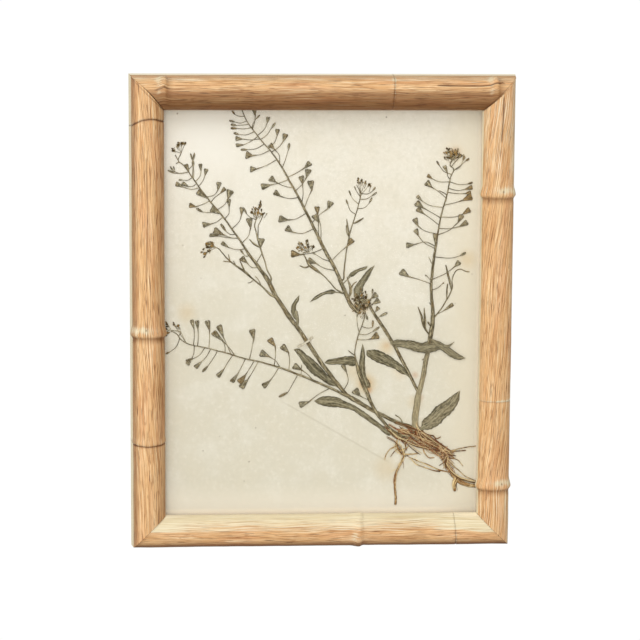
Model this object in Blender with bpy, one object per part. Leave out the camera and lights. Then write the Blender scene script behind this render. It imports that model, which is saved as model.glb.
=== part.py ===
"""Pressed flower frame: a whole dried shepherd's purse on an aged sheet, behind glass in a carved oak frame.

The frame hangs on a wall. +Z is up, the front faces -Y, and the origin is where the wall nail bears under
the middle notch of the sawtooth hanger, in the plane of the frame's back.
"""
import math
from collections import namedtuple

import bmesh
import bpy
from mathutils import Vector

MM = 0.001

# Frame moulding, in millimetres
OUTER_WIDTH = 232.0
OUTER_HEIGHT = 288.0
RAIL_WIDTH = 21.0
RAIL_DEPTH = 21.0
HALF_ROUND_HEIGHT = 8.0
HALF_ROUND_STEPS = 6
SIDE_SPLAY = 1.5
REBATE_WIDTH = 6.0
REBATE_DEPTH = 11.0
MITRE_GAP = 0.21
RING_RISE = 1.2
RING_HALF_LENGTH = 3.2
GROOVE_DEPTH = 0.7
GROOVE_HALF_WIDTH = 0.5
TOP_RINGS = (-95.1, 102.1)
TOP_GROOVES = (41.4,)
BOTTOM_RINGS = (22.7,)
BOTTOM_GROOVES = (81.4,)
LEFT_RINGS = (-10.9,)
LEFT_GROOVES = (-78.5, 116.8)
RIGHT_RINGS = (-105.7, 72.8)
RIGHT_GROOVES = (-53.1,)

# Layers behind the moulding's lip, as distances from the frame's back
SHEET_SIZE = (200.8, 256.8)
GLASS_BACK = 8.7
GLASS_THICKNESS = 2.0
PAPER_BACK = 4.9
PAPER_THICKNESS = 0.3
BOARD_BACK = 2.1
BOARD_THICKNESS = 2.5

# Framer's points and hanger
POINT_LENGTH = 9.0
POINT_WIDTH = 5.0
POINT_THICKNESS = 0.5
POINT_BACK = 1.3
POINT_BITE = 2.5
POINT_HEIGHTS = (-70.0, 70.0)
GAP = 0.3
HANGER_DROP = 10.5
HANGER_LENGTH = 46.0
HANGER_TOP = 5.5
HANGER_BOTTOM = -2.0
HANGER_THICKNESS = 0.6
HANGER_STAND_OFF = 1.6
HANGER_FOOT = 7.0
HANGER_SLOPE = 3.0
HANGER_TEETH = 7
NAIL_SPACING = 38.0
NAIL_HEAD_RADIUS = 1.7
NAIL_HEAD_THICKNESS = 0.6
NAIL_SHANK_RADIUS = 0.6
NAIL_SHANK_LENGTH = 6.0

# The dried plant, drawn on the sheet in millimetres: x to the right, second number up
PLANT_SHIFT = (0.0, -0.6)
STALK_HALF_WIDTH = 0.28
PLATE_THICKNESS = 0.34
BEND_TOLERANCE = 1.0
NARROW = 2.1
VALLEY = 0.5
PRESS = 0.6
MAX_HALF_THICKNESS = 0.65
LEAF_THICKNESS = 0.35
LEVEL_LEAF = 0.48
LEVEL_SIDE_BRANCH = 0.65
LEVEL_MAIN = 1.4
LEVEL_BASE = 0.95
LEVEL_SHORT_STEM = 2.4
LEVEL_ROOT = 1.6

Pod = namedtuple("Pod", "foot bend neck end width")
Head = namedtuple("Head", "base ends")
Branch = namedtuple("Branch", "name level path twigs pods heads")


def pods(*rows):
    return [Pod(*row) for row in rows]


ROOT_CROWN = Branch(
    "root_crown", LEVEL_ROOT,
    [(51.5, -73.4, 1.6), (57, -75.2, 2.8), (63, -78.5, 3.2), (69, -82, 3.0), (74, -85.5, 2.7), (77, -89, 2.1),
     (77.3, -93, 1.8), (79.3, -97.5, 2.2), (82.5, -101.5, 1.9), (86, -104.7, 1.5), (90, -106.4, 1.2),
     (95.5, -107.3, 1.1)],
    [[(57.6, -68.2, 1.6), (57.8, -70.5, 2.6), (58.5, -75, 2.0)],
     [(54, -73.6, 1.4), (50.6, -72.4, 1.2), (46.8, -73, 0.8)],
     [(82, -103, 1.7), (81.8, -107, 1.3), (82.4, -110.5, 0.9)],
     [(65, -74.6, 0.7), (68.5, -75.6, 0.5), (70.5, -77.4, 0.45), (73.4, -76.3, 0.4)],
     [(76, -84.5, 0.8), (83, -85.4, 0.45), (89, -84.9, 0.4)],
     [(79, -86, 0.8), (84, -84, 0.45), (95, -82.2, 0.45)],
     [(77, -89.6, 0.6), (84, -91, 0.35), (87.2, -94.8, 0.3)],
     [(78, -91, 0.6), (84, -97, 0.4), (89, -101.2, 0.4), (95.3, -104.2, 0.4)],
     [(60, -82, 0.6), (63.5, -86.5, 0.5), (66.5, -89.4, 0.45), (69.5, -89.2, 0.4)]],
    [], [])

ROOT_LEFT = Branch(
    "root_left", LEVEL_ROOT,
    [(46.6, -77.8, 1.2), (46, -81, 2.2), (48, -85, 2.1), (50.2, -88, 1.3), (48.2, -93, 0.6),
     (45.4, -100, 0.6),
     (45.2, -108, 0.6), (46, -114, 0.8), (45.8, -118.8, 0.8)],
    [[(45, -82, 0.6), (41.5, -84.5, 0.45), (39.6, -87.5, 0.4), (38.8, -90.6, 0.35)],
     [(46.5, -83.5, 0.5), (44.2, -86, 0.35), (42.4, -88.6, 0.3)],
     [(49, -84, 0.7), (52.5, -83, 0.5), (53.8, -81, 0.4)],
     [(50, -86.5, 0.6), (56, -87, 0.5), (59.5, -86.5, 0.45)]],
    [], [])

ROOT_STRANDS = Branch(
    "root_strands", LEVEL_SIDE_BRANCH,
    [(53.4, -88.6, 0.45), (59, -91.3, 0.5), (66, -94, 0.5), (72.8, -97.2, 0.6)],
    [[(54.5, -89.5, 0.4), (57.8, -93, 0.45), (64, -95.6, 0.45), (70, -97.6, 0.5), (73.3, -98, 0.6)]],
    [], [])

STEM_RIGHT = Branch(
    "stem_right", LEVEL_MAIN,
    [(57.4, -66.4, 2.0), (58.2, -58, 2.0), (59.2, -50, 1.8), (61, -43, 1.5), (62.5, -35, 1.5),
     (63.8, -27, 1.4),
     (65.2, -20, 1.4), (66.2, -13, 1.4), (67.2, -5, 1.3), (67.3, 2, 1.1), (66.5, 9, 0.9), (66.2, 18, 0.9),
     (67, 28, 0.85), (68.5, 40, 0.75), (70, 50, 0.6), (71.7, 60, 0.55), (73.8, 67.5, 0.5), (75.8, 76, 0.5),
     (77.3, 83.5, 0.45), (78.8, 88, 0.4), (76.6, 90, 0.4), (78.2, 93.5, 0.4)],
    [[(63.7, -14, 0.5), (61.8, -7, 0.8), (60.3, -1, 0.7), (58.2, 4.3, 0.3)],
     [(62.9, -10, 0.5), (62.6, -4, 0.8), (62.1, 3.6, 0.3)],
     [(66, -8.5, 0.5), (64.4, -5, 0.7)],
     [(63.5, -27, 0.4), (61, -28.6, 0.4)],
     [(66.6, 29, 0.3), (64.3, 34.8, 0.3)]],
    pods(((65.8, 18.4), (57.5, 21.2), (52.5, 22.6), (47.6, 25.9), 4.4),
         ((66, 20), (64.5, 21.7), (63.6, 22.9), (62.4, 23.5), 1.2),
         ((67.6, 41), (62.5, 43.7), (55.5, 42.1), (50.8, 41.6), 3.4),
         ((68.2, 39.4), (60.8, 44), (58, 47.6), (56.2, 51.3), 3.0),
         ((69.6, 48.4), (60.5, 51.2), (57.6, 53.6), (55.6, 57.9), 3.4),
         ((68.4, 41), (68.2, 42), (68.3, 42.8), (68.3, 48.6), 3.0),
         ((70.5, 54), (65, 58.2), (61, 61), (57.2, 64), 3.4),
         ((71.3, 58.5), (65.5, 61.8), (60.6, 64.5), (56.4, 67.6), 4.0),
         ((73, 64.7), (63.5, 66.4), (60, 68.6), (57, 71.6), 2.2),
         ((76.6, 80.3), (69.5, 80.4), (66, 82), (63.1, 84.1), 2.2),
         ((74.4, 70.2), (70, 74.2), (65.6, 77), (62.4, 79.9), 4.0),
         ((77.5, 84.9), (72.8, 86.6), (70.2, 90), (68.5, 92.7), 1.4),
         ((76.9, 81.5), (75.6, 83), (75, 86), (73.2, 89.8), 2.4),
         ((68.2, 34.5), (80, 34.2), (83.5, 35.3), (87, 37.2), 2.0),
         ((67.4, 20.5), (76, 25.2), (80.2, 28.6), (83.2, 31.6), 3.2),
         ((70.6, 51.7), (77, 51.8), (83, 53), (87.6, 55.7), 3.4),
         ((70.2, 47.6), (77, 51), (82, 55.6), (84.2, 60), 3.4),
         ((72, 58.9), (81, 59.1), (84.8, 60.6), (89, 63.4), 3.4),
         ((77, 80), (83, 78.4), (87.4, 78.8), (90.5, 79.8), 1.6),
         ((76.6, 76), (82, 74.9), (86, 75.6), (90.3, 76.9), 2.8),
         ((76, 73.7), (81, 73), (86, 73), (89.5, 73.6), 2.6),
         ((75, 65.5), (80, 67.5), (84.9, 69), (90, 71.5), 4.6),
         ((67.4, 14), (70.6, 16), (73, 18.2), (74, 18.8), 1.2),
         ((79, 87), (84, 90.8), (86, 92.7), (88.3, 94.2), 1.6),
         ((79, 87), (82.6, 89), (84.4, 93), (85.4, 95.8), 1.8)),
    [Head((78, 93), [(83.6, 96.6, 2.2), (80.2, 99.4, 3.0), (77, 99, 2.6), (73.8, 98.4, 1.8)])])

STEM_RIGHT_BRANCH = Branch(
    "stem_right_branch", LEVEL_SIDE_BRANCH,
    [(69.2, -1.4, 0.6), (72.5, 3, 0.5), (75.6, 8, 0.5), (78, 12.6, 0.5), (79, 16, 0.5), (78.8, 20, 0.4),
     (80, 24, 0.4), (82, 26.6, 0.4), (84, 27.1, 0.35), (86, 26.2, 0.35), (88, 25.6, 0.5), (89.4, 25.4, 0.6)],
    [[(79, 14.5, 0.5), (77.6, 19, 0.7), (76, 25, 0.7), (74.9, 29.8, 0.4)],
     [(75.6, 8, 0.4), (75.8, 13, 0.6), (76.2, 18.2, 0.5)]],
    pods(((70, -1), (71.5, 0.2), (74, 1.6), (79.6, 5.6), 2.4)),
    [])

STEM_CENTRE_LOWER = Branch(
    "stem_centre_lower", LEVEL_MAIN,
    [(57.2, -44.6, 0.9), (52.7, -35.7, 0.9), (47.9, -26.7, 1.0), (42.7, -17.2, 1.0), (37.4, -8.8, 1.0),
     (32.2, -0.9, 0.9),
     (28.3, 5.2, 1.0), (26, 8, 1.6), (22.8, 6.6, 2.4), (21.6, 3, 1.8)],
    [],
    pods(((33.4, -3.2), (34, -2.6), (35, -1.7), (39.7, 0.6), 2.0),
         ((31, 0.5), (31.8, 0.8), (32.5, 1.2), (34.3, 4), 2.6),
         ((28.8, 4.5), (30, 5.4), (31, 6.1), (34.6, 8.4), 3.6),
         ((27, 7.5), (28.6, 8.6), (30.2, 9.6), (33.2, 12), 3.6),
         ((29.3, 9), (30.2, 10.5), (30.4, 12), (30.6, 15.2), 1.4)),
    [])

STEM_CENTRE = Branch(
    "stem_centre", LEVEL_MAIN,
    [(18.2, 4.6, 1.2), (15.4, 10, 1.2), (12.3, 17, 1.2), (9, 25, 1.0), (5, 32.5, 1.0), (0, 41.5, 1.0),
     (-4, 50, 0.9),
     (-8, 58, 0.8), (-12.5, 67, 0.8), (-16.5, 74.6, 0.7), (-20.7, 82, 0.65), (-25.5, 90.5, 0.6),
     (-30.8, 98, 0.5),
     (-36, 104, 0.45), (-41, 110.2, 0.45), (-45.8, 117, 0.4), (-48, 122, 0.4), (-49.3, 125, 0.4)],
    [[(15.6, 9.6, 0.6), (17.3, 13, 0.9), (17, 17, 0.8), (15.6, 20.6, 0.5), (15, 22.8, 0.3)],
     [(17.2, 15, 0.5), (18.8, 18, 0.5), (21, 19.8, 0.3)]],
    pods(((0, 39.2), (-6, 37.3), (-13.5, 36.2), (-18.8, 36.8), 4.4),
         ((6.5, 25.5), (1, 28), (-4, 31), (-8.6, 32.8), 3.8),
         ((3.8, 30.6), (-0.5, 34), (-4, 36.4), (-6.5, 37.6), 1.2),
         ((-5.5, 52), (-13, 49), (-18.4, 50), (-21.8, 52.6), 4.0),
         ((-10.5, 60.8), (-17, 57.6), (-21, 57.2), (-26.2, 58), 4.2),
         ((-15.5, 70.3), (-20.5, 70.2), (-25.4, 71.5), (-29, 74.2), 3.4),
         ((-20.8, 81.2), (-26.5, 79.4), (-31.5, 78.3), (-36.8, 77.2), 3.8),
         ((-18.5, 75.8), (-24, 78), (-28.4, 80.2), (-31.6, 82.6), 3.8),
         ((-28.8, 93), (-35, 89.6), (-39.8, 88), (-43.6, 87.8), 3.6),
         ((-32.5, 98.4), (-37.5, 96.6), (-42.2, 96), (-46.2, 96.4), 4.6),
         ((-35.8, 102.3), (-40.5, 100), (-45.2, 99.5), (-49.3, 99.5), 1.8),
         ((-39.2, 107.4), (-43, 104.6), (-47.5, 102.4), (-52, 102.1), 2.2),
         ((-38.2, 105.4), (-43.5, 105.4), (-48.3, 105.9), (-52.3, 106.2), 2.8),
         ((-41.2, 110.2), (-46, 108.4), (-50.3, 108.6), (-53.5, 109.6), 1.8),
         ((-42.6, 113), (-47, 112), (-51.4, 112.2), (-55.3, 112.4), 1.8),
         ((-44, 114.8), (-48, 114.2), (-51.8, 114), (-55.2, 114.6), 2.0),
         ((-45.8, 117), (-49, 115.4), (-52.6, 116), (-56.2, 116.9), 1.6),
         ((-47, 119.6), (-50, 119.4), (-52.6, 120.4), (-54.6, 122.7), 1.4),
         ((-42, 112), (-41, 116), (-40.6, 119.4), (-41.3, 124), 2.6),
         ((-42.5, 112.6), (-41.8, 115.4), (-40.2, 117.8), (-37.8, 120.3), 1.2),
         ((-39, 108), (-35, 112), (-33.5, 115.5), (-32.8, 119), 2.4),
         ((-37.2, 105.6), (-33.8, 108.2), (-31, 112.2), (-28.6, 115.6), 1.8),
         ((-32.8, 100.3), (-29, 104), (-27.5, 108), (-27.3, 111.8), 2.8),
         ((-30.8, 98), (-26, 101.6), (-23.8, 104.6), (-22.4, 108.9), 3.4),
         ((-26, 91.2), (-26.3, 96.4), (-29.3, 100), (-31.9, 102.6), 3.2),
         ((-24.4, 88.4), (-22.4, 94), (-20.8, 99.4), (-20.2, 103.4), 2.0),
         ((-21.4, 82.8), (-15, 86), (-11, 88.6), (-7.6, 91.7), 3.4),
         ((-16.6, 74.8), (-12, 79.2), (-9.8, 83), (-8.6, 87.7), 3.8),
         ((-12.4, 67.4), (-11.8, 73), (-12.2, 79.2), (-13, 83.6), 3.4),
         ((-10.8, 64), (-9, 70), (-6.6, 75.4), (-7.4, 80.8), 4.0),
         ((-6.6, 55.4), (-2, 60.2), (3.2, 64), (5, 68.2), 4.0),
         ((-2, 46), (-2.4, 50), (-2.4, 56), (-5, 60.2), 4.0),
         ((-0.4, 44), (-1.2, 54), (-3, 60.6), (-3.4, 65.2), 3.2),
         ((5, 32.2), (10, 37), (15, 41.4), (18.2, 45.4), 3.6)),
    [])

STEM_CENTRE_BRANCH = Branch(
    "stem_centre_branch", LEVEL_SIDE_BRANCH,
    [(12.9, 21, 0.6), (13.1, 25, 0.6), (13.8, 32, 0.5), (14.8, 40, 0.5), (15.9, 46, 0.55), (17.6, 53, 0.45),
     (19.8, 60, 0.4), (21.6, 66, 0.4), (23.2, 73, 0.4)],
    [[(16.2, 47.5, 0.6), (15.4, 52, 0.7), (14.5, 57.8, 0.3)],
     [(16, 46.5, 0.5), (14.6, 50, 0.4), (14.3, 54, 0.3)],
     [(18.6, 54.6, 0.5), (21.5, 56.2, 0.7), (24.8, 58.4, 0.4)]],
    pods(((20, 60.3), (16.6, 63), (15.4, 66), (14.1, 69.4), 1.4),
         ((21.6, 66.8), (18.6, 69.4), (17.2, 71.4), (15.8, 75), 1.2),
         ((22.8, 71), (21.3, 73), (20.1, 75), (19, 77.6), 1.0),
         ((23.2, 73), (27.5, 73), (30, 74.6), (31.8, 77), 1.2),
         ((22.6, 69.8), (26.5, 69.9), (29.5, 71.6), (32.6, 73.8), 1.4),
         ((21.8, 63.6), (25.5, 64.7), (28, 67.2), (29.8, 70.6), 1.6)),
    [Head((23.2, 72.6), [(28.4, 79.3, 1.8), (25.8, 80.4, 1.4), (23.2, 81.4, 1.4), (20.8, 81.6, 1.2)])])

STEM_FLOWER_BRANCH = Branch(
    "stem_flower_branch", LEVEL_SIDE_BRANCH,
    [(12.2, 13.1, 0.6), (9, 14.6, 0.5), (4.2, 20, 0.45), (0, 24, 0.5), (-4, 27, 0.9), (-8, 30.4, 0.9),
     (-10, 34, 0.5),
     (-11.6, 37.2, 0.5), (-7.6, 37.9, 0.5)],
    [[(-7.4, 29.4, 0.6), (-10, 28.4, 0.6), (-13.8, 29.5, 0.4)]],
    [],
    [Head((-8, 37.8), [(-4.8, 41.4, 1.7), (-9.7, 45.2, 1.8), (-13.4, 43.4, 2.0), (-15.4, 41, 1.6)])])

STEM_SHORT = Branch(
    "stem_short", LEVEL_SHORT_STEM,
    [(43, -72, 0.9), (38, -66.6, 0.9), (33.2, -60.5, 1.0), (30.6, -55.5, 1.0), (27.6, -48.5, 1.2),
     (24.8, -42, 1.3),
     (22.6, -35.5, 1.2), (20.6, -29, 0.8), (20.1, -23, 0.4), (20.8, -18, 0.4), (22.2, -12.6, 0.4),
     (24.4, -7, 0.4),
     (25.7, -1.5, 0.45), (25.4, 3.5, 0.6)],
    [[(26.6, -44, 0.4), (29.2, -45, 0.5), (28, -40.5, 0.7)],
     [(20.2, -25.5, 0.3), (18, -24, 0.4), (16, -22.4, 0.3)]],
    pods(((21.4, -15.6), (26, -16), (30, -15.4), (34.2, -13), 4.4),
         ((22.4, -12.6), (27, -12.7), (30.8, -11), (35, -8), 1.6),
         ((24.6, -7.8), (28.4, -8.8), (30.8, -8.2), (30.9, -4), 1.6),
         ((22.6, -11.6), (21.4, -6), (21.1, -2), (21.6, 0.4), 1.2),
         ((25.4, 2), (26.2, 0.6), (26.8, -0.6), (27.6, -3.6), 1.6),
         ((29.6, -53.4), (25, -51.4), (23.4, -50.4), (20, -46.8), 4.6)),
    [Head((25.4, 2), [(28.6, 8.2, 2.2), (26.4, 11.2, 2.4), (23.8, 12.6, 2.4), (21, 11.2, 2.6),
                      (21.6, 0.2, 2.2)])])

STEM_LEFT_BASE = Branch(
    "stem_left_base", LEVEL_BASE,
    [(53.8, -69.4, 1.0), (49, -68, 1.1), (43, -65.6, 1.1), (37, -62.4, 1.1), (30, -59, 1.1), (23, -54.6, 1.3),
     (17.4, -51.5, 1.5)],
    [[(50, -68, 0.5), (48.4, -65, 0.45), (45, -62.4, 0.4)]],
    [], [])

STEM_UPPER_LEFT = Branch(
    "stem_upper_left", LEVEL_MAIN,
    [(15.6, -50, 1.1), (10, -43.4, 1.2), (4, -35.8, 1.2), (-3, -26, 1.2), (-9.3, -16.5, 1.2),
     (-15, -8.2, 1.2),
     (-20, -1.5, 1.4), (-24.6, 5.6, 1.2), (-29, 12.8, 1.2), (-33, 21, 1.3), (-38, 28.2, 1.0),
     (-44.5, 37, 0.8),
     (-50, 45.5, 0.65), (-56, 54, 0.6), (-62, 62, 0.55), (-68, 69, 0.55), (-74, 77, 0.5), (-79, 84, 0.45),
     (-83, 90, 0.4), (-86.6, 93.2, 0.35), (-84.8, 97.4, 0.3)],
    [[(-86.4, 93, 0.3), (-88.4, 96.6, 0.4)],
     [(-85.6, 92.2, 0.3), (-88, 91.2, 0.4)]],
    pods(((13.4, -47.4), (16.2, -41), (15.2, -36), (12.8, -31.4), 2.6),
         ((-38.4, 28.6), (-42.6, 28.6), (-45.4, 31.4), (-49, 34.4), 3.6),
         ((-44.6, 35), (-46.2, 35.4), (-47.4, 36.6), (-49.4, 39.2), 1.5),
         ((-46.6, 40), (-51, 39.3), (-56.4, 40.6), (-60.6, 43.6), 2.4),
         ((-50.6, 46.2), (-55, 46.6), (-60, 48.6), (-65.4, 50.8), 4.8),
         ((-50.8, 46), (-57, 46.6), (-62.5, 47.6), (-67.8, 48.2), 2.2),
         ((-52.2, 48.4), (-55.5, 48.6), (-58, 50.4), (-61.2, 55), 2.0),
         ((-59.8, 59), (-63.5, 56.2), (-67.4, 54.8), (-72, 54.4), 3.4),
         ((-60.6, 60.4), (-61, 60.8), (-61.6, 61.2), (-66.8, 64.4), 4.4),
         ((-62.8, 62.8), (-68, 61.8), (-72, 62.1), (-75.8, 64.4), 2.0),
         ((-67.8, 68.6), (-71.5, 66.9), (-76.2, 65.3), (-80, 66.3), 3.0),
         ((-69, 70), (-69.8, 70.5), (-70.6, 71), (-75, 74.6), 3.8),
         ((-74, 76.6), (-79, 75.8), (-83.6, 77.2), (-88, 79.2), 2.8),
         ((-75.6, 79), (-78, 77.6), (-80.4, 77.4), (-84.2, 79.6), 2.4),
         ((-78.4, 82.6), (-81, 81.2), (-84, 81.4), (-86.4, 81.5), 1.3),
         ((-80.4, 86), (-85.4, 85.4), (-88.4, 85.4), (-92.8, 87.2), 1.6),
         ((-48.4, 43.2), (-44.6, 47.6), (-43.3, 52.6), (-44.2, 58.2), 3.8),
         ((-54.6, 51.8), (-50, 56.6), (-48.8, 60.4), (-48.4, 64.8), 3.0),
         ((-59, 58), (-56.4, 61), (-56.2, 65.3), (-56.4, 69.8), 2.6),
         ((-63.4, 63.6), (-58.4, 67.2), (-56.8, 70.4), (-55.4, 75.2), 4.4),
         ((-67.2, 68), (-64.6, 71), (-61.4, 73.4), (-58.6, 76.4), 2.4),
         ((-69.6, 71.2), (-64.8, 72.6), (-62.9, 75.3), (-62.2, 80), 3.0),
         ((-74.4, 77.6), (-71.8, 81), (-70.6, 84.3), (-69.8, 88), 2.6),
         ((-76.4, 80.4), (-73.6, 83.6), (-73, 86.6), (-73.4, 91), 2.2),
         ((-77.6, 82), (-77.3, 86), (-77.6, 89.5), (-77.8, 93), 2.0),
         ((-79.8, 85), (-80.1, 85.6), (-80.2, 86.2), (-82.2, 90.7), 2.8),
         ((-77.6, 83), (-77.8, 90), (-78, 93), (-79.2, 97.2), 1.4)),
    [Head((-84.8, 97.2), [(-82, 104, 1.6), (-84.4, 104.2, 2.0), (-87, 103.2, 2.0), (-90.2, 99.4, 1.8)])])

STEM_UPPER_LEFT_BRANCH_A = Branch(
    "stem_upper_left_branch_a", LEVEL_SIDE_BRANCH,
    [(-30.8, 21.8, 0.6), (-33, 26.5, 0.5), (-35, 33, 0.5), (-37.2, 39.8, 0.6), (-38.8, 45, 0.6),
     (-40, 50, 0.5),
     (-40.8, 54, 0.4), (-39.6, 58.4, 0.4)],
    [[(-38, 40.6, 0.5), (-41, 42.6, 0.7), (-44, 45.6, 0.4)],
     [(-38.9, 45.4, 0.4), (-38.7, 50, 0.4), (-38.6, 54, 0.35), (-36.6, 58.2, 0.35), (-35.8, 60.4, 0.5)],
     [(-36.4, 37, 0.3), (-39.6, 31.6, 0.3)]],
    pods(((-37.2, 39.6), (-37.3, 40.2), (-37.3, 40.8), (-36.8, 46), 4.2),
         ((-40.6, 57.6), (-43.6, 58.9), (-45.6, 60.8), (-47.4, 64.4), 1.6)),
    [Head((-39.8, 57.8), [(-35.3, 61.2, 1.8), (-37.4, 66.4, 2.0), (-40.4, 65, 2.0), (-43, 62.8, 1.9)])])

STEM_UPPER_LEFT_BRANCH_B = Branch(
    "stem_upper_left_branch_b", LEVEL_SIDE_BRANCH,
    [(-30.6, 11.6, 0.8), (-36, 16.6, 0.6), (-41, 20.8, 0.55), (-46.5, 25.6, 0.8), (-52, 29.6, 0.6),
     (-57, 33.6, 0.5),
     (-60.5, 37.6, 0.4), (-62.6, 40, 0.4), (-66, 41.2, 0.4)],
    [[(-46.6, 26, 0.5), (-48.2, 29.6, 0.6), (-49.8, 32.6, 0.3)],
     [(-52, 29.8, 0.4), (-53.6, 32.6, 0.3)],
     [(-55.6, 32.6, 0.4), (-56.6, 36.6, 0.35)],
     [(-55.4, 31.4, 0.4), (-59.8, 32.4, 0.4)]],
    [],
    [Head((-64, 40.6), [(-67, 44.2, 2.2), (-70.5, 43.2, 2.4), (-71.8, 36.4, 2.4)])])

STEM_LOWER_LEFT = Branch(
    "stem_lower_left", LEVEL_MAIN,
    [(11.6, -48.6, 0.8), (5, -45.4, 0.8), (-3, -41.8, 0.75), (-13, -37.6, 0.7), (-25, -33, 0.65),
     (-36, -29.6, 0.55),
     (-48, -26.8, 0.5), (-60, -23, 0.45), (-72, -20, 0.4), (-82, -17.4, 0.4), (-85.6, -15, 0.35),
     (-87.6, -12, 0.35),
     (-91, -9.9, 0.3)],
    [[(-12.4, -37.6, 0.25), (-12.2, -31, 0.25)],
     [(-86.8, -13, 0.3), (-85.2, -11, 0.3), (-90.6, -9.6, 0.3)]],
    pods(((-5, -40.8), (-8.6, -37), (-12.4, -34.2), (-17, -31.6), 4.0),
         ((-20, -34.8), (-19.6, -27.4), (-20.2, -23.6), (-24.2, -19.4), 3.8),
         ((-29, -31.6), (-28.1, -25), (-28.3, -19.6), (-31.8, -15.2), 3.8),
         ((-25, -33), (-28, -28.6), (-32.2, -25.8), (-37.2, -23.6), 4.4),
         ((-44, -27.6), (-42.4, -20.6), (-41.3, -15), (-42.4, -9.4), 3.8),
         ((-55, -24.4), (-57.5, -18.6), (-59.8, -13.6), (-62.4, -6.8), 3.6),
         ((-52.8, -25.4), (-56.6, -19.8), (-60.4, -15.8), (-65.8, -10.8), 3.6),
         ((-58.8, -23.2), (-58.6, -21), (-59, -18), (-61, -14.6), 1.2),
         ((-68.4, -20.9), (-68, -14), (-68, -9.6), (-69.4, -3.9), 3.2),
         ((-75.4, -19), (-74.8, -13.6), (-75, -9), (-75.6, -3.8), 2.6),
         ((-77.8, -18.4), (-77.2, -13.6), (-77.3, -9), (-78.8, -3.4), 2.4),
         ((-86, -14.6), (-88.4, -20), (-92, -22.8), (-94.4, -24), 1.4),
         ((-71, -20.4), (-74.4, -25), (-77.8, -27), (-82.4, -28.2), 1.8),
         ((-77.4, -18.6), (-77.6, -24), (-79, -27.5), (-81.6, -30.4), 2.8),
         ((-67.6, -21.2), (-69.8, -25.6), (-73, -29), (-76.6, -32.4), 2.8),
         ((-63, -22.4), (-66, -27.2), (-69, -31.5), (-72.4, -35.2), 2.0),
         ((-54.2, -25), (-57, -29.4), (-59.4, -33.6), (-63.2, -38), 2.8),
         ((-46.2, -27.4), (-48.4, -31.6), (-51, -36.6), (-54.6, -41.4), 2.8),
         ((-41, -28.4), (-43.4, -32.6), (-46.4, -37.4), (-50, -42), 4.2),
         ((-38.4, -29.2), (-41.8, -35), (-44.9, -40), (-49, -45), 3.6),
         ((-26, -33), (-29, -37.6), (-31.5, -41), (-35.6, -44.4), 3.4),
         ((-14.6, -37.4), (-18, -43.6), (-20.4, -48), (-26, -50.9), 2.0),
         ((5, -46), (-3, -50.2), (-7.6, -54), (-13.4, -56), 3.8)),
    [Head((-82, -17.2), [(-87.2, -6, 1.4), (-89.8, -5.4, 1.6)]),
     Head((-90.6, -9.9), [(-94.4, -5.4, 1.2), (-94.6, -8.4, 1.4), (-94, -11.6, 1.8)])])

BRANCHES = (ROOT_CROWN, ROOT_LEFT, ROOT_STRANDS, STEM_RIGHT, STEM_RIGHT_BRANCH, STEM_CENTRE_LOWER,
STEM_CENTRE,
            STEM_CENTRE_BRANCH, STEM_FLOWER_BRANCH, STEM_SHORT, STEM_LEFT_BASE, STEM_UPPER_LEFT,
            STEM_UPPER_LEFT_BRANCH_A, STEM_UPPER_LEFT_BRANCH_B, STEM_LOWER_LEFT)

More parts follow.
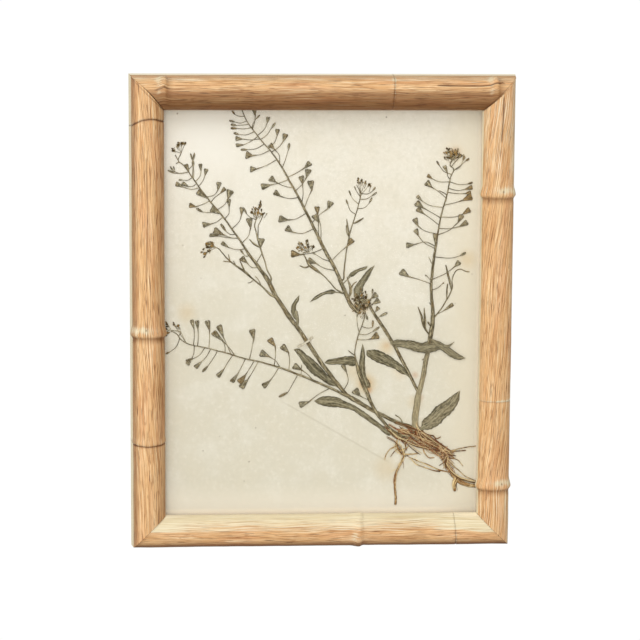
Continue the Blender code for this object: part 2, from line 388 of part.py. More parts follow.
# Leaf outlines with the level each leaf lies at
LEAVES = (
    ("leaf_1", 2.45, [(41.4, -18.4), (44, -16.4), (50, -16.2), (56, -16.8), (61, -18), (66, -16.6),
    (71, -18), (77, -19.2),
                      (81, -17.3), (78, -20.4), (72, -22.2), (65, -24.2), (58, -23.6), (50, -21), (44, -20)]),
    ("leaf_2", 3.0, [(66.5, -15.5), (71, -17), (77, -20.4), (83, -24.6), (87.8, -27.6), (84, -28.6),
    (79, -27),
                     (73, -22.6), (68, -19.6)]),
    ("leaf_3", LEVEL_LEAF, [(53, -38), (50.5, -33.6), (45.5, -29), (40, -25.2), (33, -22.2), (27.3, -22.4),
                            (27.2, -25), (32, -29), (38, -31.6), (44, -33.8), (49, -37.2)]),
    ("leaf_4", LEVEL_LEAF, [(21, -29), (20, -26.6), (14.5, -26.2), (8, -27.4), (3, -28.6), (1.6, -30),
    (4, -31),
                            (10, -31), (16, -31.6), (20, -32)]),
    ("leaf_5", LEVEL_LEAF, [(24.8, -18.2), (26.2, -23.5), (26.4, -31), (27, -38), (29.5, -44.4), (27, -46.6),
                            (24, -40), (22.8, -33), (23.4, -25)]),
    ("leaf_6", LEVEL_LEAF, [(-17.2, -21.6), (-14.6, -21.1), (-9, -25), (-3, -30), (2, -35.6), (6, -40),
    (9, -44.6),
                            (5.4, -44), (0, -40.6), (-6, -36.6), (-10.2, -31.6), (-13.2, -27)]),
    ("leaf_7", LEVEL_LEAF, [(-4.6, -53.6), (-0.6, -51.2), (4, -50.6), (9, -51.2), (14, -53.6), (20, -56.4),
    (28, -61.8),
                            (36, -68), (43.8, -73.4), (42.6, -75), (34, -70), (26, -64.4), (18, -59.2),
                            (10, -57.6),
                            (2, -56.8), (-2, -55.4)]),
    ("leaf_8", LEVEL_LEAF, [(84.8, -47.6), (81, -51), (77, -54.6), (71.6, -57.6), (66.4, -63.4), (62, -67.4),
                            (61.4, -70.4), (64, -71.6), (70, -69.2), (76, -63.4), (80.6, -59), (83.6, -54)]),
    ("leaf_9", LEVEL_LEAF, [(19.2, 10.4), (19.2, 15), (23.4, 21.4), (27.6, 26.8), (31.8, 29.6), (28.7, 23),
    (25, 16.4),
                            (23.6, 10.6)]),
    ("leaf_10", LEVEL_LEAF, [(-7.4, 7.2), (-4.6, 10.4), (1, 13.4), (7, 14.6), (8.4, 13.6), (7.4, 12.6),
    (2, 12),
                             (-3.4, 9)]),
    ("leaf_11", LEVEL_LEAF, [(15.4, 22.4), (17, 24.8), (21, 27.2), (27.4, 29.2), (27, 28), (22, 25.6),
                             (18.2, 22.6)]),
    ("leaf_12", LEVEL_LEAF, [(-18.2, -0.4), (-18.6, 4.6), (-16.4, 8.6), (-13.8, 11.6), (-14, 8.8),
    (-15.6, 5.4),
                             (-15.4, 1), (-14, -4.8), (-16, -3.6)]),
)

# Tape strip over the left stem: from and to on the sheet, and how far from the stem it comes down
TAPE_FROM = (-14.6, -20.2)
TAPE_TO = (-5.4, -14.2)
TAPE_WIDTH = 1.3
TAPE_THICKNESS = 0.18
TAPE_TOP = 2.5
TAPE_FEET = 0.32
TAPE_FOOT_SHARE = 0.24


def clear_scene():
    for thing in list(bpy.data.objects):
        bpy.data.objects.remove(thing, do_unlink=True)


def new_collection(name):
    collection = bpy.data.collections.new(name)
    bpy.context.scene.collection.children.link(collection)
    return collection


def material(name, colour, roughness, metallic=0.0, alpha=1.0):
    made = bpy.data.materials.new(name)
    made.use_nodes = True
    shader = made.node_tree.nodes["Principled BSDF"]
    shader.inputs["Base Color"].default_value = (*colour, 1.0)
    shader.inputs["Roughness"].default_value = roughness
    shader.inputs["Metallic"].default_value = metallic
    shader.inputs["Alpha"].default_value = alpha
    return made


clear_scene()
PART = new_collection("pressed_flower_frame")
CUTTERS = new_collection("cutters")
SHEET = bpy.data.objects.new("sheet", None)
PART.objects.link(SHEET)

CENTRE_Z = (HANGER_DROP - OUTER_HEIGHT / 2) * MM
PAPER_FRONT = PAPER_BACK + PAPER_THICKNESS


def place_sheet():
    """The empty that carries the plant: its XY plane is the paper's front, its Z points to the viewer."""
    SHEET.location = (PLANT_SHIFT[0] * MM, -PAPER_FRONT * MM, CENTRE_Z + PLANT_SHIFT[1] * MM)
    SHEET.rotation_euler = (math.radians(90), 0, 0)


def add_object(name, mesh, finish=None, collection=PART, parent=None):
    thing = bpy.data.objects.new(name, mesh)
    collection.objects.link(thing)
    thing.parent = parent
    if finish:
        mesh.materials.append(finish)
    if collection is CUTTERS:
        thing.hide_render = True
        thing.display_type = "WIRE"
    return thing


def box(name, low, high, finish=None, collection=PART):
    """A box between two corners in millimetres."""
    mesh = bpy.data.meshes.new(name)
    shape = bmesh.new()
    bmesh.ops.create_cube(shape, size=1.0)
    for vertex in shape.verts:
        vertex.co = Vector([(a if c < 0 else b) * MM for a, b, c in zip(low, high, vertex.co)])
    shape.to_mesh(mesh)
    shape.free()
    return add_object(name, mesh, finish, collection)


def cylinder(name, radius, length, centre, finish=None, collection=PART, sides=8):
    """A cylinder along Y, sizes in millimetres."""
    mesh = bpy.data.meshes.new(name)
    shape = bmesh.new()
    bmesh.ops.create_cone(shape, cap_ends=True, segments=sides, radius1=radius * MM, radius2=radius * MM,
                          depth=length * MM)
    shape.to_mesh(mesh)
    shape.free()
    thing = add_object(name, mesh, finish, collection)
    thing.rotation_euler = (math.radians(90), 0, 0)
    thing.location = Vector(centre) * MM
    return thing


def modify(thing, operation, other):
    """Boolean with one object or with all objects of a collection."""
    step = thing.modifiers.new(operation.lower(), "BOOLEAN")
    step.operation = operation
    step.solver = "EXACT"
    if isinstance(other, bpy.types.Collection):
        step.operand_type = "COLLECTION"
        step.collection = other
    else:
        step.object = other


def mesh_from_curve(name, curve):
    """The curve as a welded mesh in its own coordinates; the curve itself is removed."""
    holder = bpy.data.objects.new(name + "_curve", curve)
    PART.objects.link(holder)
    bpy.context.view_layer.update()
    evaluated = holder.evaluated_get(bpy.context.evaluated_depsgraph_get())
    mesh = bpy.data.meshes.new_from_object(evaluated)
    mesh.name = name
    bpy.data.objects.remove(holder, do_unlink=True)
    shape = bmesh.new()
    shape.from_mesh(mesh)
    bmesh.ops.remove_doubles(shape, verts=shape.verts, dist=0.000002)
    bmesh.ops.recalc_face_normals(shape, faces=shape.faces)
    shape.to_mesh(mesh)
    shape.free()
    return mesh


def plate_mesh(name, outline, thickness, level):
    """A flat outline on the sheet, its middle at the given height above the paper."""
    curve = bpy.data.curves.new(name, "CURVE")
    curve.dimensions = "2D"
    curve.fill_mode = "BOTH"
    curve.extrude = thickness / 2 * MM
    spline = curve.splines.new("POLY")
    spline.points.add(len(outline) - 1)
    for point, (x, up) in zip(spline.points, outline):
        point.co = (x * MM, up * MM, 0, 1)
    spline.use_cyclic_u = True
    mesh = mesh_from_curve(name, curve)
    for vertex in mesh.vertices:
        vertex.co.z += level * MM
    return mesh


def pressed(height):
    """A round stem's height after pressing: flatter by PRESS and never over the largest half thickness."""
    return max(-MAX_HALF_THICKNESS * MM, min(MAX_HALF_THICKNESS * MM, height * PRESS))


def stem_mesh(name, path, level):
    """A tapering tube along points (x, up, half width), pressed flat."""
    curve = bpy.data.curves.new(name, "CURVE")
    curve.dimensions = "3D"
    curve.bevel_depth = MM
    curve.bevel_resolution = 0
    curve.use_fill_caps = True
    spline = curve.splines.new("POLY")
    spline.points.add(len(path) - 1)
    for point, (x, up, half_width) in zip(spline.points, path):
        point.co = (x * MM, up * MM, 0, 1)
        point.radius = half_width
    mesh = mesh_from_curve(name, curve)
    for vertex in mesh.vertices:
        vertex.co.z = pressed(vertex.co.z) + level * MM
    return mesh


def side_of(before, after):
    """Unit vector to the left of the way from one point to the next."""
    way = (Vector(after) - Vector(before)).normalized()
    return Vector((-way.y, way.x))


def nearest_on_paths(point, paths):
    """The point of the stem's centre lines that lies nearest to the given one."""
    point = Vector(point)
    best = None
    for path in paths:
        for before, after in zip(path, path[1:]):
            start = Vector(before[:2])
            way = Vector(after[:2]) - start
            share = max(0.02, min(0.98, (point - start).dot(way) / way.length_squared))
            spot = start + way * share
            if best is None or (spot - point).length < (best - point).length:
                best = spot
    return best


def pod_outline(pod, paths):
    """Stalk and pod in one outline: from a point inside the stem, past the bend and the neck, to a broad end.
    A straight stalk has no bend, and a straight narrow bud no neck either."""
    foot = nearest_on_paths(pod.foot, paths)
    bend, neck, end = (Vector(point) for point in pod[1:4])
    bent = abs(side_of(foot, neck).dot(bend - foot)) > BEND_TOLERANCE
    turns = []
    if bent:
        turns.append((bend, side_of(foot, neck)))
    if bent or pod.width > NARROW:
        turns.append((neck, side_of(bend if bent else foot, end)))
    side = side_of(neck, end) * (pod.width / 2)
    right = [point - across * STALK_HALF_WIDTH for point, across in turns]
    left = [point + across * STALK_HALF_WIDTH for point, across in turns]
    return [foot] + right + [end - side, end + side] + left[::-1]


def head_outline(head, paths):
    """A flower head as a fan: each bud widens from the base to its end, with a valley before the next."""
    base = nearest_on_paths(head.base, paths)
    ends = sorted(head.ends, key=lambda end: turn_from(base, head.ends[0], end))
    outline = [base]
    for number, (x, up, width) in enumerate(ends):
        end = Vector((x, up))
        side = side_of(base, end) * (width / 2)
        if number:
            between = (Vector(ends[number - 1][:2]) + end) / 2
            outline.append(base.lerp(between, VALLEY))
        outline += [end - side, end + side]
    return outline


def turn_from(base, first, end):
    """Angle at the base from the first bud to another, anticlockwise."""
    start = Vector(first[:2]) - base
    way = Vector(end[:2]) - base
    return math.atan2(start.x * way.y - start.y * way.x, start.dot(way))


def rooted(twig, paths):
    """A twig whose first point is moved to the centre line it grows from."""
    spot = nearest_on_paths(twig[0][:2], paths)
    return [(spot.x, spot.y, twig[0][2])] + twig[1:]


def branch_piece(branch, finish):
    """One stem or root with everything that grows on it, joined in one body."""
    body = add_object(branch.name, stem_mesh(branch.name, branch.path, branch.level), finish, parent=SHEET)
    growth = bpy.data.collections.new(branch.name + "_growth")
    CUTTERS.children.link(growth)
    paths = [branch.path]
    meshes = []
    for number, twig in enumerate(branch.twigs):
        paths.append(rooted(twig, paths))
        meshes.append(stem_mesh(f"{branch.name}_twig_{number}", paths[-1],
        branch.level + 0.02 * (1 + number % 3)))
    outlines = [pod_outline(pod, paths) for pod in branch.pods] + [head_outline(head,
    paths) for head in branch.heads]
    for number, outline in enumerate(outlines):
        lift = 0.022 * (number % 5 - 2)
        thickness = PLATE_THICKNESS + 0.01 * (number % 3)
        meshes.append(plate_mesh(f"{branch.name}_plate_{number}", outline, thickness, branch.level + lift))
    for mesh in meshes:
        operand = bpy.data.objects.new(mesh.name, mesh)
        growth.objects.link(operand)
        operand.parent = SHEET
        operand.hide_render = True
        operand.display_type = "WIRE"
    if meshes:
        modify(body, "UNION", growth)
    return body


def rise(along, rings, grooves):
    """How far the half-round stands out at a place along the rail: cosine-squared rings, V-shaped grooves."""
    for ring in rings:
        distance = abs(along - ring)
        if distance < RING_HALF_LENGTH:
            return RING_RISE * math.cos(math.pi / 2 * distance / RING_HALF_LENGTH) ** 2
    for groove in grooves:
        distance = abs(along - groove)
        if distance < GROOVE_HALF_WIDTH:
            return -GROOVE_DEPTH * (1 - distance / GROOVE_HALF_WIDTH)
    return 0.0


def rail_profile():
    """Points around the moulding as (across, depth, share of the ring's rise across, share of it forward)."""
    spring = RAIL_DEPTH - HALF_ROUND_HEIGHT
    middle = (SIDE_SPLAY + RAIL_WIDTH) / 2
    half = (RAIL_WIDTH - SIDE_SPLAY) / 2
    profile = [(0, 0, 0, 0)]
    for step in range(HALF_ROUND_STEPS + 1):
        turn = math.pi * (1 - step / HALF_ROUND_STEPS)
        profile.append((middle + half * math.cos(turn), spring + HALF_ROUND_HEIGHT * math.sin(turn),
                        math.cos(turn), math.sin(turn)))
    inner = RAIL_WIDTH - REBATE_WIDTH
    profile += [(RAIL_WIDTH, REBATE_DEPTH, 0, 0), (inner, REBATE_DEPTH, 0, 0), (inner, 0, 0, 0)]
    return profile


def rail_stations(length, rings, grooves):
    """Places along the rail that need a section, from end to end."""
    stations = [-length, length]
    for ring in rings:
        stations += [ring + RING_HALF_LENGTH * share for share in (-1, -0.5, 0, 0.5, 1)]
    for groove in grooves:
        stations += [groove + GROOVE_HALF_WIDTH * share for share in (-1, 0, 1)]
    return sorted(stations)


def rail(name, length, rings, grooves, to_frame, finish):
    """A mitred rail, lofted through its sections. to_frame turns (along, across,
    depth) into frame coordinates."""
    snap = 1.0
    loops = []
    shape = bmesh.new()
    for station in rail_stations(length, rings, grooves):
        loop = []
        for across, depth, share_across, share_depth in rail_profile():
            limit = length / 2 - across - MITRE_GAP
            place = station
            at_end = abs(station) > limit - snap
            if at_end:
                place = math.copysign(limit, station)
            bump = rise(place, rings, grooves)
            across_now = across + bump * share_across
            if at_end:
                place = math.copysign(length / 2 - across_now - MITRE_GAP, station)
            loop.append(shape.verts.new(Vector(to_frame(place, across_now, depth + bump * share_depth)) * MM))
        loops.append(loop)
    count = len(loops[0])
    for first, second in zip(loops, loops[1:]):
        for index in range(count):
            following = (index + 1) % count
            shape.faces.new((first[index], first[following], second[following], second[index]))
    shape.faces.new(loops[0][::-1])
    shape.faces.new(loops[-1])
    bmesh.ops.remove_doubles(shape, verts=shape.verts, dist=0.000001)
    bmesh.ops.triangulate(shape, faces=[face for face in shape.faces if len(face.verts) > 4])
    bmesh.ops.recalc_face_normals(shape, faces=shape.faces)
    mesh = bpy.data.meshes.new(name)
    shape.to_mesh(mesh)
    shape.free()
    thing = add_object(name, mesh, finish)
    thing.location = (0, 0, CENTRE_Z)
    return thing


def make_rails(finish):
    half_width = OUTER_WIDTH / 2
    half_height = OUTER_HEIGHT / 2
    top = rail("rail_top", OUTER_WIDTH, TOP_RINGS, TOP_GROOVES,
               lambda along, across, depth: (along, -depth, half_height - across), finish)
    rail("rail_bottom", OUTER_WIDTH, BOTTOM_RINGS, BOTTOM_GROOVES,
         lambda along, across, depth: (along, -depth, across - half_height), finish)
    left = rail("rail_left", OUTER_HEIGHT, LEFT_RINGS, LEFT_GROOVES,
                lambda along, across, depth: (across - half_width, -depth, along), finish)
    right = rail("rail_right", OUTER_HEIGHT, RIGHT_RINGS, RIGHT_GROOVES,
                 lambda along, across, depth: (half_width - across, -depth, along), finish)
    return top, left, right


def layer(name, size, back, thickness, finish):
    """A sheet that lies in the rebate, back and thickness in millimetres from the frame's back."""
    middle = CENTRE_Z / MM
    low = (-size[0] / 2, -back - thickness, middle - size[1] / 2)
    high = (size[0] / 2, -back, middle + size[1] / 2)
    return box(name, low, high, finish)


def framers_points(left, right, finish):
    """Flat points driven into the side rails, which hold the backing board; each has its own slot."""
    middle = CENTRE_Z / MM
    wall = OUTER_WIDTH / 2 - (RAIL_WIDTH - REBATE_WIDTH)
    number = 0
    for rail_object, side in ((left, -1), (right, 1)):
        for height in (POINT_HEIGHTS[0], 0.0, POINT_HEIGHTS[1]):
            number += 1
            ends = sorted((side * (wall + POINT_BITE), side * (wall + POINT_BITE - POINT_LENGTH)))
            low = (ends[0], -POINT_BACK - POINT_THICKNESS, middle + height - POINT_WIDTH / 2)
            high = (ends[1], -POINT_BACK, middle + height + POINT_WIDTH / 2)
            box(f"point_{number}", low, high, finish)
            cut_low = (low[0] - GAP, low[1] - GAP, low[2] - GAP)
            cut_high = (high[0] + GAP, high[1] + GAP, high[2] + GAP)
            modify(rail_object, "DIFFERENCE", box(f"slot_{number}", cut_low, cut_high, collection=CUTTERS))


def hanger_outline():
    """The bent strip seen from above: feet on the wood, the middle held off it."""
    half = HANGER_LENGTH / 2
    rest = GAP
    raised = HANGER_STAND_OFF
    line = [(-half, rest), (-half + HANGER_FOOT, rest), (-half + HANGER_FOOT + HANGER_SLOPE, raised),
            (half - HANGER_FOOT - HANGER_SLOPE, raised), (half - HANGER_FOOT, rest), (half, rest)]
    return line + [(x, y + HANGER_THICKNESS) for x, y in line[::-1]]


def saw_teeth_outline():
    """Zigzag below the raised middle, with a notch's point on the centre line at height zero."""
    half = HANGER_LENGTH / 2 - HANGER_FOOT - HANGER_SLOPE - 1.0
    pitch = 2 * half / HANGER_TEETH
    below = HANGER_BOTTOM - 1.0
    outline = [(-half, below)]
    for tooth in range(HANGER_TEETH):
        left = -half + tooth * pitch
        outline += [(left, HANGER_BOTTOM - 0.05), (left + pitch / 2, 0.0)]
    return outline + [(half, HANGER_BOTTOM - 0.05), (half, below)]


def flat_curve_object(name, outline, thickness, rotation, location, finish=None, collection=PART):
    """An outline extruded both ways, turned and placed, as a mesh object."""
    thing = add_object(name, plate_mesh(name, outline, thickness, 0.0), finish, collection)
    thing.rotation_euler = rotation
    thing.location = Vector(location) * MM
    return thing


def make_hanger(top, steel):
    height = HANGER_TOP - HANGER_BOTTOM
    hanger = flat_curve_object("hanger", hanger_outline(), height, (0, 0, 0),
    (0, 0, HANGER_BOTTOM + height / 2), steel)
    teeth = flat_curve_object("teeth", saw_teeth_outline(), 12.0, (math.radians(90), 0, 0), (0, 0, 0),
                              collection=CUTTERS)
    modify(hanger, "DIFFERENCE", teeth)
    nail_height = (HANGER_TOP + HANGER_BOTTOM) / 2
    for name, side in (("hanger_nail_left", -1), ("hanger_nail_right", 1)):
        x = side * NAIL_SPACING / 2
        head_back = GAP + HANGER_THICKNESS + GAP
        nail = cylinder(name, NAIL_HEAD_RADIUS, NAIL_HEAD_THICKNESS,
                        (x, head_back + NAIL_HEAD_THICKNESS / 2, nail_height), steel)
        shank_end = head_back + NAIL_HEAD_THICKNESS / 2
        shank = cylinder(name + "_shank", NAIL_SHANK_RADIUS, NAIL_SHANK_LENGTH + shank_end,
                         (x, (shank_end - NAIL_SHANK_LENGTH) / 2, nail_height), collection=CUTTERS, sides=6)
        modify(nail, "UNION", shank)
        hole = cylinder(name + "_hole", NAIL_SHANK_RADIUS + GAP, 2 * (NAIL_SHANK_LENGTH + GAP),
        (x, 0, nail_height),
                        collection=CUTTERS, sides=6)
        modify(hanger, "DIFFERENCE", hole)
        modify(top, "DIFFERENCE", hole)


def make_tape(finish):
    """A narrow strip that goes up over the stem and down to the paper on both sides."""
    start = Vector(TAPE_FROM)
    end = Vector(TAPE_TO)
    length = (end - start).length
    half = length / 2
    inner = half * (1 - 2 * TAPE_FOOT_SHARE)
    slope = 0.9
    line = [(-half, TAPE_FEET), (-inner - slope, TAPE_FEET), (-inner, TAPE_TOP), (inner, TAPE_TOP),
            (inner + slope, TAPE_FEET), (half, TAPE_FEET)]
    outline = line + [(x, up + TAPE_THICKNESS) for x, up in line[::-1]]
    tape = add_object("tape_strip", plate_mesh("tape_strip", outline, TAPE_WIDTH, 0.0), finish, parent=SHEET)
    way = (end - start).normalized()
    turn = math.atan2(way.y, way.x)
    tape.rotation_euler = (math.radians(90), 0, turn)
    middle = (start + end) / 2
    tape.location = (middle.x * MM, middle.y * MM, 0)
    return tape


def build():
    oak = material("oak", (0.58, 0.36, 0.16), 0.55)
    clear = material("glass", (0.95, 0.97, 0.96), 0.05, alpha=0.2)
    paper = material("aged_paper", (0.83, 0.77, 0.62), 0.9)
    tape = material("tape", (0.85, 0.8, 0.7), 0.6)
    card = material("backing_card", (0.42, 0.33, 0.22), 0.9)
    steel = material("steel", (0.62, 0.62, 0.6), 0.35, metallic=1.0)
    stem = material("dried_stem", (0.16, 0.14, 0.08), 0.8)
    leaf = material("dried_leaf", (0.13, 0.13, 0.08), 0.85)
    root = material("dried_root", (0.2, 0.12, 0.06), 0.85)

    place_sheet()
    top, left, right = make_rails(oak)
    layer("glass", SHEET_SIZE, GLASS_BACK, GLASS_THICKNESS, clear)
    layer("specimen_paper", SHEET_SIZE, PAPER_BACK, PAPER_THICKNESS, paper)
    layer("backing_board", SHEET_SIZE, BOARD_BACK, BOARD_THICKNESS, card)
    framers_points(left, right, steel)
    make_hanger(top, steel)
    make_tape(tape)
    for branch in BRANCHES:
        branch_piece(branch, root if branch.name.startswith("root") else stem)
    for name, level, outline in LEAVES:
        add_object(name, plate_mesh(name, outline, LEAF_THICKNESS, level), leaf, parent=SHEET)


build()
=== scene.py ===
"""Looks of the pressed flower frame: a whole dried shepherd's purse on an aged sheet, behind glass, in an oak
frame carved like bamboo. The plant is drawn on its sheet in millimetres, x to the right and up, with its
height above the paper; the frame in millimetres along, across and deep, counted from its back.
"""

import math
from collections import namedtuple

import bpy
import numpy as np
from mathutils import Matrix, Vector


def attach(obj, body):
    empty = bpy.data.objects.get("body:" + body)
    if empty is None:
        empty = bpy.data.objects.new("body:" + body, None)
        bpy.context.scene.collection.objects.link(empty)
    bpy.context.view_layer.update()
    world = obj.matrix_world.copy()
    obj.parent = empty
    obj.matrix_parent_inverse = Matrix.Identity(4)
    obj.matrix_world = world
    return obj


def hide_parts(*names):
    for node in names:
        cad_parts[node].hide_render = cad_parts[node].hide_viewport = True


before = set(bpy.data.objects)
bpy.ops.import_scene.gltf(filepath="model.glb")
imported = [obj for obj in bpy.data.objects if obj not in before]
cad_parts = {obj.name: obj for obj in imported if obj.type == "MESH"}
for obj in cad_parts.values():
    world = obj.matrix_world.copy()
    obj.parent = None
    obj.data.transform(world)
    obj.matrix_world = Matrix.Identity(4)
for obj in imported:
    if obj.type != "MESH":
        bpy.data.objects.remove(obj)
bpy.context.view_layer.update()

MM = 0.001
CENTRE_Z = -133.5
SHEET_UP = -0.6
PAPER_FRONT = 5.2
# The photo's width, which its focal length is measured in
PHOTO_PIXELS = 640.0

# Frame moulding
OUTER_WIDTH = 232.0
OUTER_HEIGHT = 288.0
RAIL_WIDTH = 21.0
RAIL_DEPTH = 21.0
HALF_ROUND_HEIGHT = 8.0
SIDE_SPLAY = 1.5
REBATE_WIDTH = 6.0
REBATE_DEPTH = 11.0
MITRE_GAP = 0.07
RING_RISE = 1.2
GROOVE_DEPTH = 0.6

# How far above the paper the middle of each layer of the plant lies in the solids
LEVEL_LEAF = 0.48
LEVEL_SIDE_BRANCH = 0.65
LEVEL_BASE = 0.95
LEVEL_MAIN = 1.4
LEVEL_ROOT = 1.6
LEVEL_SHORT_STEM = 2.4
LEVEL_LEAF_OVER_STEM = 2.45
LEVEL_TOP_LEAF = 3.0
# Here the lowest layer lies at LOWEST, and the others rise above it by this share of those steps
LOWEST = 0.24
PRESSED_DOWN = 0.22

# Half width of a pod's stalk, the width that parts narrow pods from wedge-shaped ones, and where pods are
# browned
STALK = 0.2
NARROW_POD = 2.1
BROWNED_PODS = (90.0, 70.0)
# Dark knots on the stems: x, up, radius
KNOTS = ((-38.5, 25.4, 1.1), (38.6, -18.6, 1.2), (66.4, -14.6, 1.0))
# Buds and petals: how brown, how pale, how dark-edged
DARK_BUD, OCHRE_BUD, PETAL = (0.9, 0.0, 1.5), (1.0, 0.0, 0.3), (0.4, 0.8, 0.0)

# A stem or root: its level, where it starts hidden among its neighbours, its path as (x, up, half width), the
# hidden tip, and the twigs, pods and flower heads that grow on it
Branch = namedtuple("Branch", "name level path start tip twigs pods heads", defaults=([], [], (), (), ()))
Pod = namedtuple("Pod", "foot bend neck end width")
Head = namedtuple("Head", "base ends")
Leaf = namedtuple("Leaf", "name level outline stalk pale dark", defaults=((), 0.0, 0.0))


def pods(*rows):
    """Pods from rows of foot, bend, neck, end and width."""
    return [Pod(*row) for row in rows]


